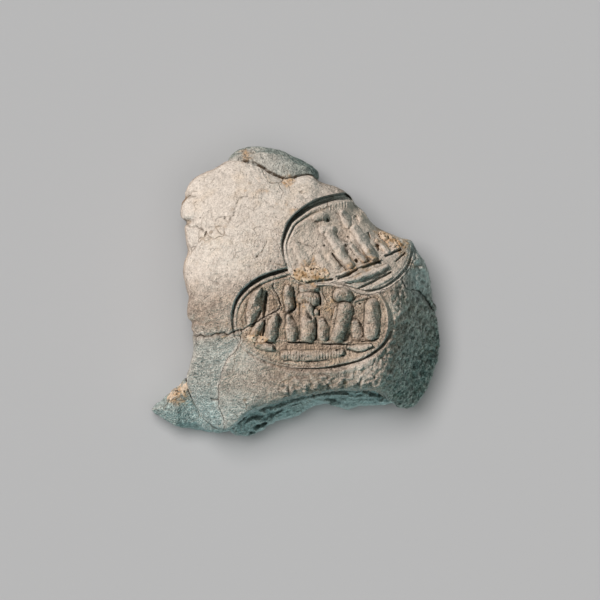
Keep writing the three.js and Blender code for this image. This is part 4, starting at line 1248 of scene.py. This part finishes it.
def other_tones(node, x, y, n, noise, size):
    """The tones of a piece outside the jacket, dirty where it meets the jacket."""
    u = x / size["lump_width"]
    pale_and_lit, cool_and_painted_light, green = (share * (1 + OTHER_DRIFT * noise) for share in OTHER_TONES[node])
    form = jacket_form(size)
    seam = (reach_of(form, x, y) - 1) * np.hypot(x - form["heart"][0], y - form["heart"][1])
    dirt = np.zeros(x.shape)
    if node in SEAM_DIRT_REACH:
        seam = seam + SEAM_DIRT_DRIFT * noise
        dirt = 1 - step_up(SEAM_DIRT_FULL, SEAM_DIRT_REACH[node], seam)
    if node == "corner_spur":
        green = green + SPUR_GREEN * (1 - ramp("spur_across", u))
    if node == "top_lap":
        green = green + LAP_ACROSS_GREEN * ramp("lap_across", u)
        # Painted shade: the lap's steep edges, turned from the lamps, are painted green.
        green = green + LAP_SIDE_SHADE * (1 - ramp("lap_level", n[:, 2]))
        pale_and_lit = pale_and_lit + blob(x, y, size, LAP_PALE_PLACES)
        dirt = dirt * ramp("lap_crack", u)
    bare = np.zeros(x.shape)
    return {"pale_and_lit": pale_and_lit, "cool_and_painted_light": cool_and_painted_light, "green": green, "tan": bare, "dirt": dirt, "figure": bare}


def tone(item, node, size):
    """Stores what the clay's colours follow, at each vertex."""
    p, n = get_points(item.data), get_normals(item.data)
    x, y, z = p.T
    noise, fine = cloud(x, y, z, TONE_CLOUD), cloud(x, y, z, TONE_GRAIN)
    if node in JACKET:
        values = jacket_tones(x, y, z, n, noise, size)
    else:
        values = other_tones(node, x, y, n, noise, size)
    lift = hollow_lift(item)
    hollow = ramp("hollow", lift)
    soil = blob(x, y, size, SOIL_PLACES) * (n[:, 2] > 0) * (z > SOIL_FLOOR)
    soil = ramp("soil", soil + SOIL_GRAIN * fine + SOIL_HOLLOWS * hollow * soil)
    soil = np.maximum(soil, STAIN * hollow * ramp("stain", noise + STAIN_GRAIN * fine))
    dirt = values["dirt"] * ramp("dirt", fine, noise)
    values.update(hollow=hollow, crest=ramp("crest", -lift), soil=soil, dirt=dirt)
    for name, value in values.items():
        store(item, name, np.clip(value, 0, 1))


def crust_tone(item):
    """Stores how deep each place of a crust lies in its hollows."""
    store(item, "hollow", ramp("crust_hollow", hollow_lift(item)))


class Nodes:
    """Short names for the shader nodes of one material."""

    def __init__(self, name):
        self.material = bpy.data.materials.new(name)
        self.material.use_nodes = True
        self.tree = self.material.node_tree
        self.shader = self.tree.nodes["Principled BSDF"]
        self.where = self.tree.nodes.new("ShaderNodeTexCoord").outputs["Object"]

    def feed(self, socket, value):
        if isinstance(value, bpy.types.NodeSocket):
            self.tree.links.new(value, socket)
        elif isinstance(value, (int, float)):
            socket.default_value = value
        else:
            socket.default_value = (*value, 1)

    def noise(self, scale, detail, rough=0.6, output="Fac"):
        node = self.tree.nodes.new("ShaderNodeTexNoise")
        for key, value in (("Scale", scale), ("Detail", detail), ("Roughness", rough)):
            node.inputs[key].default_value = value
        self.feed(node.inputs["Vector"], self.where)
        return node.outputs[output]

    def ranged(self, value, low, high, to_low=0.0, to_high=1.0):
        node = self.tree.nodes.new("ShaderNodeMapRange")
        for key, number in (("From Min", low), ("From Max", high), ("To Min", to_low), ("To Max", to_high)):
            node.inputs[key].default_value = number
        self.feed(node.inputs["Value"], value)
        return node.outputs["Result"]

    def calculate(self, operation, a, b):
        node = self.tree.nodes.new("ShaderNodeMath")
        node.operation = operation
        self.feed(node.inputs[0], a)
        self.feed(node.inputs[1], b)
        return node.outputs["Value"]

    def times(self, a, b):
        return self.calculate("MULTIPLY", a, b)

    def plus(self, a, b):
        return self.calculate("ADD", a, b)

    def minus(self, a, b):
        return self.calculate("SUBTRACT", a, b)

    def mixed(self, amount, a, b, blend="MIX"):
        node = self.tree.nodes.new("ShaderNodeMix")
        node.data_type = "RGBA"
        node.blend_type = blend
        for key, value in (("Factor", amount), ("A", a), ("B", b)):
            self.feed([s for s in node.inputs if s.name == key and s.enabled][0], value)
        return [s for s in node.outputs if s.enabled][0]

    def stored(self, key):
        node = self.tree.nodes.new("ShaderNodeAttribute")
        node.attribute_name = key
        return node.outputs["Fac"]

    def crack_net(self, cell, width, warp):
        """1 along the walls of a warped honeycomb and 0 off them."""
        drift = self.tree.nodes.new("ShaderNodeVectorMath")
        drift.operation = "MULTIPLY_ADD"
        self.feed(drift.inputs[0], self.noise(0.9 / cell, 3, output="Color"))
        drift.inputs[1].default_value = (warp, warp, warp)
        self.feed(drift.inputs[2], self.where)
        node = self.tree.nodes.new("ShaderNodeTexVoronoi")
        node.feature = "DISTANCE_TO_EDGE"
        node.inputs["Scale"].default_value = 1 / cell
        self.feed(node.inputs["Vector"], drift.outputs["Vector"])
        return self.ranged(node.outputs["Distance"], 0.2 * width / cell, width / cell, 1, 0)

    def speckled(self, colour, noise, low, high, dark, light, amount=1.0):
        """A colour made darker and lighter by a noise, from one factor to another."""
        grey = self.mixed(self.ranged(noise, low, high), (dark, dark, dark), (light, light, light))
        return self.mixed(amount, colour, grey, "MULTIPLY")

    def bump(self, height, metres):
        node = self.tree.nodes.new("ShaderNodeBump")
        node.inputs["Strength"].default_value = 0.8
        node.inputs["Distance"].default_value = metres
        self.feed(node.inputs["Height"], height)
        self.feed(self.shader.inputs["Normal"], node.outputs["Normal"])


# A faint orange that washes over the clay, and two nets of hairlines: size of a cell, width and
# warp, in metres.
ORANGE_TINT = (1, 0.9, 0.76)
LARGE_NET = (0.0042, 0.00007, 0.003)
SMALL_NET = (0.0013, 0.00004, 0.0012)


def scaled(colour, factor):
    return [c * factor for c in colour]


def clay_material(name):
    """Fine unbaked clay: mottled and gritty, darker in its hollows with stain and painted shade, and paler
    on its crests.
    """
    colours = bpy.context.scene.bulla_colours
    kit = Nodes(name)
    cool_and_painted_light, green, tan, figure = (kit.stored(key) for key in ("cool_and_painted_light", "green", "tan", "figure"))
    # Noises by what they make, with how many cells to a metre and how fine they are.
    mottle = kit.noise(900, 4)
    grit = kit.noise(5200, 3, 0.7)
    speck = kit.noise(2600, 3)

    # The pale, cool and green tones carry painted light and shade as well as the clay's own tones.
    pale_and_lit = kit.times(kit.stored("pale_and_lit"), kit.ranged(mottle, 0.25, 0.6, 0.8, 1))
    colour = kit.mixed(pale_and_lit, colours.warm, colours.pale_and_lit)
    colour = kit.mixed(cool_and_painted_light, colour, colours.cool_and_painted_light)
    colour = kit.mixed(kit.times(green, kit.ranged(mottle, 0.3, 0.65, 1, 0.75)), colour, colours.green)
    colour = kit.mixed(kit.times(tan, 0.75), colour, colours.tan)
    colour = kit.mixed(kit.times(figure, 0.75), colour, colours.figure)
    tinted = kit.times(kit.ranged(kit.noise(420, 3), 0.5, 0.72, 0, 0.4), kit.ranged(cool_and_painted_light, 0, 0.5, 1, 0))
    colour = kit.mixed(tinted, colour, ORANGE_TINT, "MULTIPLY")
    colour = kit.mixed(kit.times(kit.stored("crest"), 0.3), colour, scaled(colours.pale_and_lit, 1.1))

    soil_colour = kit.mixed(
        kit.ranged(speck, 0.35, 0.65), scaled(colours.soil, 0.5), scaled(colours.soil, 1.2)
    )
    soil = kit.times(kit.stored("soil"), kit.ranged(speck, 0.3, 0.6, 0.2, 0.75))
    colour = kit.mixed(soil, colour, soil_colour)
    # Painted shade and stain: the hollows inside the impressions are darkened.
    stamped = kit.ranged(kit.plus(tan, figure), 0, 1, 0.3, 0.8)
    colour = kit.mixed(kit.times(kit.stored("hollow"), stamped), colour, colours.hollow)
    large_net = kit.times(kit.crack_net(*LARGE_NET), kit.ranged(kit.noise(260, 2), 0.5, 0.62))
    small_net = kit.times(kit.crack_net(*SMALL_NET), kit.ranged(kit.noise(700, 2), 0.54, 0.64, 0, 0.6))
    net = kit.calculate("MAXIMUM", large_net, small_net)
    colour = kit.mixed(kit.times(net, 0.5), colour, scaled(colours.soil, 0.4))
    dirt = kit.times(kit.stored("dirt"), kit.ranged(speck, 0.3, 0.5, 0.3, 0.95))
    colour = kit.mixed(dirt, colour, scaled(colours.soil, 0.12))

    colour = kit.speckled(colour, grit, 0.3, 0.7, 0.5, 1.4, kit.ranged(pale_and_lit, 0, 1, 1, 0.55))
    colour = kit.speckled(
        colour, kit.noise(1500, 3), 0.35, 0.65, 0.72, 1.2, kit.ranged(pale_and_lit, 0, 1, 1, 0.3)
    )
    colour = kit.speckled(colour, kit.noise(3300, 2), 0.38, 0.62, 0.5, 1.6, kit.times(green, 0.85))
    colour = kit.mixed(kit.ranged(kit.noise(3400, 1), 0.67, 0.75, 0, 0.55), colour, colours.hollow)
    kit.feed(kit.shader.inputs["Base Color"], colour)
    kit.feed(kit.shader.inputs["Roughness"], kit.ranged(mottle, 0.3, 0.7, 0.82, 0.98))
    kit.shader.inputs["Specular IOR Level"].default_value = 0.25

    rough = kit.plus(kit.ranged(pale_and_lit, 0, 1, 2.6, 0.5), kit.times(green, 0.8))
    rough = kit.times(rough, kit.ranged(figure, 0, 1, 1, 0.65))
    height = kit.plus(kit.times(grit, 0.6), kit.times(speck, 0.7))
    height = kit.plus(height, kit.times(kit.noise(1300, 3, 0.65), 1.3))
    height = kit.minus(height, kit.ranged(kit.noise(2300, 2), 0.6, 0.72, 0, 0.7))
    kit.bump(kit.minus(kit.times(height, rough), kit.times(net, 0.6)), 0.00018)
    return kit.material


def crust_material(name):
    """Dried burial soil: cream, with orange flecks and dark holes."""
    colours = bpy.context.scene.bulla_colours
    kit = Nodes(name)
    grit = kit.noise(4200, 3, 0.7)
    patch = kit.noise(1000, 4, 0.65)
    colour = kit.mixed(kit.ranged(patch, 0.46, 0.64), colours.crust, colours.soil)
    colour = kit.mixed(kit.ranged(patch, 0.6, 0.72, 0, 0.8), colour, scaled(colours.soil, 0.3))
    colour = kit.mixed(kit.ranged(kit.noise(2900, 1), 0.64, 0.7), colour, scaled(colours.soil, 0.06))
    colour = kit.mixed(kit.times(kit.stored("hollow"), 0.75), colour, scaled(colours.soil, 0.12))
    kit.feed(kit.shader.inputs["Base Color"], kit.speckled(colour, grit, 0.3, 0.7, 0.7, 1.2))
    kit.shader.inputs["Roughness"].default_value = 0.95
    kit.shader.inputs["Specular IOR Level"].default_value = 0.2
    kit.bump(grit, 0.00015)
    return kit.material


def dressed(name, make):
    """A material by name, made on its first use."""
    return bpy.data.materials.get(name) or make(name)


def finished(item, node, size):
    """Brings a piece to metres, dresses it and gives it its place in the frame."""
    low, high = (np.array(corner) / MILLIMETRE for corner in CAD_BOX)
    set_points(item.data, np.clip(get_points(item.data), low, high))
    item.data.materials.clear()
    if node in CRUSTS:
        crust_tone(item)
        item.data.materials.append(dressed("soil_crust", crust_material))
    else:
        tone(item, node, size)
        item.data.materials.append(dressed("jacket_clay", clay_material))
    item.data.transform(Matrix.Scale(MILLIMETRE, 4))
    pick(item)
    bpy.ops.object.shade_smooth_by_angle(angle=math.radians(SMOOTH_ANGLE))
    item.name = item.data.name = "clay_" + node
    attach(item, "root")
    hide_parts(node)
    return item


# Operators


class BULLA_OT_press_lump(bpy.types.Operator):
    """Presses the whole lump, stamps it twice and ages its face"""

    bl_idname = "bulla.press_lump"
    bl_label = "Press the Lump"

    def execute(self, context):
        size = sizes()
        item = shaped_lump("pressed_lump", jacket_form(size))
        remeshed(item, size["grain"])
        refined(item, size)
        p, n = get_points(item.data), get_normals(item.data)
        upward = step_up(*UPWARD, n[:, 2])
        swell = cloud(*p.T, SWELL)
        p[:, 2] = softened(p[:, 2], FACE_LEVEL, FACE_GIVE)
        swell = swell * step_up(*OFF_BED, p[:, 2]) * (1 - upward * 0.5) - edge_notches(p, size)
        p = p + n * swell[:, None]
        p[:, 2] += relief(p[:, 0], p[:, 1], size) * upward
        p[:, 2] += bed_prints(p[:, 0], p[:, 1], size) * (n[:, 2] < DOWNWARD)
        p[:, 2] = softened(p[:, 2], CEILING, CEILING_GIVE)
        set_points(item.data, p)
        stamped = step_up(*FLANK_EDGE, np.maximum(*in_impressions(p[:, 0], p[:, 1], size)))
        flank = step_up(*FLANK_REACH, p[:, 0] - p[:, 1]) * (1 - stamped)
        for depth, added, scale, seed, octaves in LUMP_ROUGHNESS:
            roughened(item, depth + added * flank, scale, seed, octaves)
        return {"FINISHED"}


def softened(z, level, give):
    """Heights over a level, pressed down to it but for a little."""
    return np.where(z > level, level + give * np.tanh((z - level) / give), z)


def refined(item, size):
    """Splits the faces in and round the impressions, where the fine relief is."""
    mesh = item.data
    x, y, _ = vectors(mesh.polygons, "center").T
    first_in, second_in = (inset(outline(size), x, y) for outline in (first_outline, second_outline))
    near = np.maximum(first_in, second_in) > SPLIT_INSET
    near &= vectors(mesh.polygons, "normal")[:, 2] > SPLIT_UPWARD
    mesh.vertices.foreach_set("select", np.zeros(len(mesh.vertices), bool))
    mesh.edges.foreach_set("select", np.zeros(len(mesh.edges), bool))
    mesh.polygons.foreach_set("select", near)
    bpy.context.tool_settings.mesh_select_mode = (False, False, True)
    pick(item)
    bpy.ops.object.mode_set(mode="EDIT")
    bpy.ops.mesh.subdivide(number_cuts=1)
    bpy.ops.object.mode_set(mode="OBJECT")
    return item


def edge_notches(p, size):
    """How far the small creases of the left side draw it in."""
    x, y, z = p.T
    depth = np.zeros(x.shape)
    for share, half, drop in EDGE_NOTCHES:
        slant = NOTCH_SLANT * (x - NOTCH_PIVOT * size["lump_width"])
        away = y - share * size["lump_length"] - slant
        depth = depth + drop * np.exp(-((away / half) ** 2))
    left = 1 - step_up(*NOTCH_ACROSS, x / size["lump_width"])
    return depth * left * step_up(*NOTCH_UP, z)


def bed_prints(x, y, size):
    """The two strings' prints in the bed, with the twist of their plies."""
    height = np.zeros(x.shape)
    for left, right in BED_PRINTS:
        ends = place([(-0.6, left), (0.6, right)], size)
        stroke = widened(ends, STRING_RADIUS)
        twist = 1 - PLY_DEPTH * np.cos((x + PLY_SLANT * y) * 2 * math.pi / PLY_SPACING)
        height = np.maximum(height, STRING_RADIUS * twist * stroke_height(stroke, x, y, 2))
    return height


def wavy_slab(top):
    """A thick block with a gently rolling top, for parting the jacket from the wad."""
    deselect_all()
    bpy.ops.mesh.primitive_grid_add(
        x_subdivisions=SLAB_STEPS, y_subdivisions=SLAB_STEPS, size=SLAB_SIDE
    )
    item = pick(named("slab"))
    bpy.ops.object.mode_set(mode="EDIT")
    bpy.ops.mesh.select_all(action="SELECT")
    bpy.ops.mesh.extrude_region_move(TRANSFORM_OT_translate={"value": (0, 0, -SLAB_DEPTH)})
    bpy.ops.mesh.select_all(action="SELECT")
    bpy.ops.mesh.normals_make_consistent(inside=False)
    bpy.ops.object.mode_set(mode="OBJECT")
    p = get_points(item.data)
    rolling = top + flat_cloud(p[:, 0], p[:, 1], SLAB_WAVE)
    p[:, 2] = np.where(p[:, 2] > -SLAB_DEPTH / 2, rolling, SLAB_FOOT)
    set_points(item.data, p)
    return item


def jacket_loops(size):
    """The closed loops that part the jacket's four pieces, along its ragged breaks."""
    left, face, seam, flank, cheek = breaks(size).values()
    lower_left, lower_right, upper_right, upper_left = place(FAR_CORNERS, size)
    return {
        "crown": [*left, *face[1:], *seam[1:], upper_right, upper_left],
        "right_shoulder": [*flank, upper_right, *seam[::-1][:-1]],
        "left_cheek": [*left, *cheek[1:], lower_left],
        "front_lobe": [*cheek[::-1], *face[1:], *flank[1:], lower_right],
    }


def seat(size):
    """The room that the core takes."""
    return shaped_lump("seat", small_form(CORE, size, grow=SEAT_ROOM), SEAT_MESH)


class BULLA_OT_part_jacket(bpy.types.Operator):
    """Parts the stamped jacket along its old breaks"""

    bl_idname = "bulla.part_jacket"
    bl_label = "Part the Jacket"

    def execute(self, context):
        size = sizes()
        jacket = copy_of(bpy.data.objects["pressed_lump"], "jacket")
        combine(jacket, wavy_slab(size["wad_thickness"] + WAD_ROOM), "DIFFERENCE")
        combine(jacket, seat(size), "DIFFERENCE")
        for node, loop in jacket_loops(size).items():
            piece = copy_of(jacket, node + "_cut")
            cutter = prism("cutter", shrunk(loop, size["crack_width"] / 2), *CUTTER_HEIGHTS)
            combine(piece, cutter, "INTERSECT")
            without_crumbs(piece)
            finished(piece, node, size)
        bpy.data.objects.remove(jacket, do_unlink=True)
        return {"FINISHED"}


class BULLA_OT_part_wad(bpy.types.Operator):
    """Makes the wad that lay against the package"""

    bl_idname = "bulla.part_wad"
    bl_label = "Part the Wad"

    def execute(self, context):
        size = sizes()
        wad = bpy.data.objects["pressed_lump"]
        combine(wad, wavy_slab(size["wad_thickness"] - WAD_ROOM), "INTERSECT")
        combine(wad, seat(size), "DIFFERENCE")
        without_crumbs(wad)
        finished(wad, "back_wad", size)
        return {"FINISHED"}


def tube(name, points, radius):
    """A round tool along a path."""
    curve = bpy.data.curves.new(name, "CURVE")
    curve.dimensions = "3D"
    curve.bevel_depth = radius
    curve.bevel_resolution = 4
    curve.use_fill_caps = True
    spline = curve.splines.new("POLY")
    spline.points.add(len(points) - 1)
    for point, spot in zip(spline.points, points):
        point.co = (*spot, 1)
    item = bpy.data.objects.new(name, curve)
    bpy.context.scene.collection.objects.link(item)
    pick(item)
    bpy.ops.object.convert(target="MESH")
    return bpy.context.active_object


def core_ribs(p, size):
    """How far the core's ribs, its curl at the left end and its thin layers stand out."""
    path = place(smooth_path(FOLD_PATH), size)
    away, _ = stroke_reach(widened(path, 1), p[:, 0], p[:, 1])
    below = from_table(p[:, 0], path) - p[:, 1]
    phase = np.where(below > 0, away, -away) + cloud(*p.T, RIB_DRIFT)
    ribs = 0.5 + 0.5 * np.cos(phase * 2 * math.pi / RIB_SPACING + RIB_LEAN * p[:, 2])
    hollow_x, hollow_y = place([HOLLOW_PLACE], size)[0]
    away = np.hypot(p[:, 0] - hollow_x, p[:, 1] - hollow_y)
    turns = (away - RIB_SPACING + cloud(*p.T, CURL_DRIFT)) / CURL_SPACING
    curl = 0.5 + 0.5 * np.cos(turns * 2 * math.pi)
    curled = np.clip((CURL_REACH - away) / CURL_FADE, 0, 1)
    layers = phase * 2 * math.pi / LAYER_SPACING + cloud(*p.T, LAYER_DRIFT)
    layers = LAYER_HEIGHT * np.cos(layers)
    ribbed = ribs * (1 - curled) + curl * curled
    return (ribbed - RIB_LEVEL) * RIB_HEIGHT + layers + cloud(*p.T, CORE_SWELL)


class BULLA_OT_roll_core(bpy.types.Operator):
    """Rolls the ribbed core under the arch of the lower edge"""

    bl_idname = "bulla.roll_core"
    bl_label = "Roll the Core"

    def execute(self, context):
        size = sizes()
        item = remeshed(shaped_lump("core", small_form(CORE, size), SMALL_MESH), COARSE_GRAIN)
        p, n = get_points(item.data), get_normals(item.data)
        upward = step_up(*CORE_UPWARD, n[:, 2])
        rise = core_ribs(p, size) * (0.5 + 0.5 * upward) * step_up(*CORE_OFF_BED, p[:, 2])
        p = p + n * rise[:, None]
        drop = np.zeros(len(p))
        for depth, points in CORE_FOLDS:
            fold = smooth_line(points, size)
            fold = stroke_height(fold, p[:, 0], p[:, 1], FOLD_SQUARENESS)
            drop = np.maximum(drop, depth * fold)
        p[:, 2] -= drop * upward
        set_points(item.data, p)
        remeshed(item, FINE_GRAIN)
        roughened(item, *CORE_ROUGHNESS)
        points = [(*place([spot[:2]], size)[0], spot[2] * CORE["level"]) for spot in TUNNEL]
        bore = tube("tunnel", smooth_path(points, steps=6), TUNNEL_RADIUS)
        combine(item, remeshed(bore, COARSE_GRAIN), "DIFFERENCE")
        without_crumbs(item)
        finished(item, "inner_core", size)
        return {"FINISHED"}


def small_lump(shape, size):
    """A small form with a lumpy, gritty skin, before it is cut to its neighbours."""
    swell, scale, seed = shape["swell"]
    item = remeshed(shaped_lump("small_lump", small_form(shape, size), SMALL_MESH), COARSE_GRAIN)
    roughened(item, swell, scale, seed)
    remeshed(item, FINE_GRAIN)
    return roughened(item, *SKIN_ROUGHNESS, seed + 1, depth=3)


class BULLA_OT_fold_lap(bpy.types.Operator):
    """Folds the lap over the top edge"""

    bl_idname = "bulla.fold_lap"
    bl_label = "Fold the Lap"

    def execute(self, context):
        size = sizes()
        item = small_lump(LAP, size)
        combine(item, shaped_lump("space", jacket_form(size, grow=LAP_ROOM)), "DIFFERENCE")
        without_crumbs(item)
        finished(item, "top_lap", size)
        return {"FINISHED"}


class BULLA_OT_squeeze_spur(bpy.types.Operator):
    """Squeezes the spur out at the lower left corner"""

    bl_idname = "bulla.squeeze_spur"
    bl_label = "Squeeze the Spur"

    def execute(self, context):
        size = sizes()
        item = small_lump(SPUR, size)
        combine(item, shaped_lump("space", jacket_form(size, grow=SEAT_ROOM)), "DIFFERENCE")
        combine(item, seat(size), "DIFFERENCE")
        without_crumbs(item)
        finished(item, "corner_spur", size)
        return {"FINISHED"}


class BULLA_OT_settle_crusts(bpy.types.Operator):
    """Settles the crusts of burial soil in the hollows"""

    bl_idname = "bulla.settle_crusts"
    bl_label = "Settle the Crusts"

    def execute(self, context):
        size = sizes()
        for index, node in enumerate(CRUSTS):
            settle_crust(node, index, size)
        return {"FINISHED"}


def settle_crust(node, index, size):
    """Flat grains strewn over an oval, joined into one crust."""
    middle, half, turn, grains = CRUSTS[node]
    rng = np.random.default_rng(STREW_SEED + index)
    spread = np.sqrt(rng.random(grains))
    around = rng.uniform(0, 2 * math.pi, grains)
    a, b = spread * np.cos(around) * half[0], spread * np.sin(around) * half[1]
    cos, sin = math.cos(math.radians(turn)), math.sin(math.radians(turn))
    x, y = place([middle], size)[0][:, None] + (a * cos - b * sin, a * sin + b * cos)
    if node == "crust_spur":
        form = small_form(SPUR, size)
        z = dome_height(form, x, y, reach_of(form, x, y))
    else:
        z = surface_height(x, y, size)
    deselect_all()
    balls = []
    for k in range(grains):
        radius = rng.uniform(*GRAIN_RADII) * (GRAIN_MIDDLE - GRAIN_TAPER * spread[k])
        spot = (x[k], y[k], z[k] - GRAIN_SINK)
        bpy.ops.mesh.primitive_ico_sphere_add(
            subdivisions=2, radius=radius, location=spot, scale=GRAIN_SCALE
        )
        balls.append(bpy.context.active_object)
    for ball in balls:
        ball.select_set(True)
    bpy.ops.object.join()
    item = named(node + "_grains")
    bpy.ops.object.transform_apply()
    remeshed(item, CRUST_GRAIN)
    roughened(item, *CRUST_ROUGHNESS, CRUST_SEED + index)
    finished(item, node, size)


# Each sun: where it stands, strength, spread in degrees and colour, and whether it leaves the
# floor out or lights it alone.
SUNS = [
    ("key", (-0.66, 0.42, 0.65), 4.15, 3, (1, 0.94, 0.88), "EXCLUDE"),
    ("fill", (0.14, -0.9, 0.33), 1.15, 20, (0.6, 0.96, 0.97), "EXCLUDE"),
    ("side", (0.93, 0.25, 0.03), 0.65, 10, (0.7, 1, 0.97), "EXCLUDE"),
    ("overhead", (-0.17, 0.23, 1), 2.0, 30, (1, 0.967, 0.97), "INCLUDE"),
    ("bounce", (0.12, -0.12, 1), 0.6, 50, (1, 0.967, 0.97), "INCLUDE"),
]
AIR_COLOUR, AIR_STRENGTH = (0.8, 1, 0.98, 1), 0.12
# The paper's side and how far off the suns are drawn, in metres.
FLOOR_SIDE, SUN_DISTANCE = 3, 0.2
# Widths in pixels of the photograph and of the lump in it, and what a pixel measures in metres.
PHOTO_WIDTH, LUMP_PIXELS = 600, 291
PIXEL = 0.032 / LUMP_PIXELS
# In millimetres, but for the farthest that the camera sees, which is in metres.
CAMERA_LENS, CAMERA_SENSOR, CAMERA_FAR = 600, 36, 10
# The middle of the view, in pixels from the lump's, and the height in metres that is at the true
# scale.
CAMERA_SHIFT = (4.5, -8.5)
FOCUS_HEIGHT = 0.009


class BULLA_OT_studio(bpy.types.Operator):
    """Lays the paper, hangs the lamps and sets up the camera"""

    bl_idname = "bulla.studio"
    bl_label = "Set Up the Studio"

    def execute(self, context):
        scene = context.scene
        deselect_all()
        bpy.ops.mesh.primitive_plane_add(size=FLOOR_SIDE, location=(0, 0, 0))
        floor = named("paper")
        bpy.ops.object.transform_apply()
        paper = bpy.data.materials.new("paper")
        paper.use_nodes = True
        shader = paper.node_tree.nodes["Principled BSDF"]
        shader.inputs["Base Color"].default_value = (*scene.bulla_colours.paper, 1)
        shader.inputs["Roughness"].default_value = 1
        shader.inputs["Specular IOR Level"].default_value = 0
        floor.data.materials.append(paper)

        for name, toward, strength, spread, colour, state in SUNS:
            link_light(add_sun(name, toward, strength, spread, colour), floor, state)

        world = bpy.data.worlds.new("studio_air")
        scene.world = world
        world.use_nodes = True
        air = world.node_tree.nodes["Background"]
        air.inputs["Color"].default_value = AIR_COLOUR
        air.inputs["Strength"].default_value = AIR_STRENGTH

        camera = bpy.data.cameras.new("camera")
        camera.lens = CAMERA_LENS
        camera.sensor_width = CAMERA_SENSOR
        reach = PHOTO_WIDTH * PIXEL * CAMERA_LENS / CAMERA_SENSOR
        camera.clip_end = CAMERA_FAR
        item = bpy.data.objects.new("camera", camera)
        scene.collection.objects.link(item)
        right, up = CAMERA_SHIFT
        item.location = (right * PIXEL, up * PIXEL, reach + FOCUS_HEIGHT)
        scene.camera = item
        scene.view_settings.view_transform = "Standard"
        return {"FINISHED"}


def add_sun(name, toward, strength, spread, colour):
    lamp = bpy.data.lights.new(name, "SUN")
    lamp.energy = strength
    lamp.angle = math.radians(spread)
    lamp.color = colour
    item = bpy.data.objects.new(name, lamp)
    bpy.context.scene.collection.objects.link(item)
    item.rotation_euler = Vector(toward).to_track_quat("Z", "Y").to_euler()
    item.location = Vector(toward) * SUN_DISTANCE
    return item


def link_light(lamp, floor, state):
    """Lets a lamp light only the floor, or all but the floor."""
    group = bpy.data.collections.new(lamp.name + "_receivers")
    group.objects.link(floor)
    lamp.light_linking.receiver_collection = group
    group.collection_objects[0].light_linking.link_state = state


class BULLA_PT_panel(bpy.types.Panel):
    """The bulla's steps and sizes in the sidebar"""

    bl_idname = "BULLA_PT_panel"
    bl_label = "Clay Bulla"
    bl_space_type = "VIEW_3D"
    bl_region_type = "UI"
    bl_category = "Bulla"

    def draw(self, context):
        for name in BullaSizes.__annotations__:
            self.layout.prop(context.scene.bulla_sizes, name)
        for name in BullaColours.__annotations__:
            self.layout.prop(context.scene.bulla_colours, name)
        for step in STEPS:
            self.layout.operator(step.bl_idname)


STEPS = (
    BULLA_OT_press_lump,
    BULLA_OT_part_jacket,
    BULLA_OT_part_wad,
    BULLA_OT_roll_core,
    BULLA_OT_fold_lap,
    BULLA_OT_squeeze_spur,
    BULLA_OT_settle_crusts,
    BULLA_OT_studio,
)
CLASSES = (BullaSizes, BullaColours, *STEPS, BULLA_PT_panel)


def register():
    for item in CLASSES:
        bpy.utils.register_class(item)
    bpy.types.Scene.bulla_sizes = PointerProperty(type=BullaSizes)
    bpy.types.Scene.bulla_colours = PointerProperty(type=BullaColours)


def unregister():
    del bpy.types.Scene.bulla_colours
    del bpy.types.Scene.bulla_sizes
    for item in reversed(CLASSES):
        bpy.utils.unregister_class(item)


def main():
    register()
    bpy.ops.bulla.press_lump()
    bpy.ops.bulla.part_jacket()
    bpy.ops.bulla.part_wad()
    bpy.ops.bulla.roll_core()
    bpy.ops.bulla.fold_lap()
    bpy.ops.bulla.squeeze_spur()
    bpy.ops.bulla.settle_crusts()
    bpy.ops.bulla.studio()


if __name__ == "__main__":
    main()
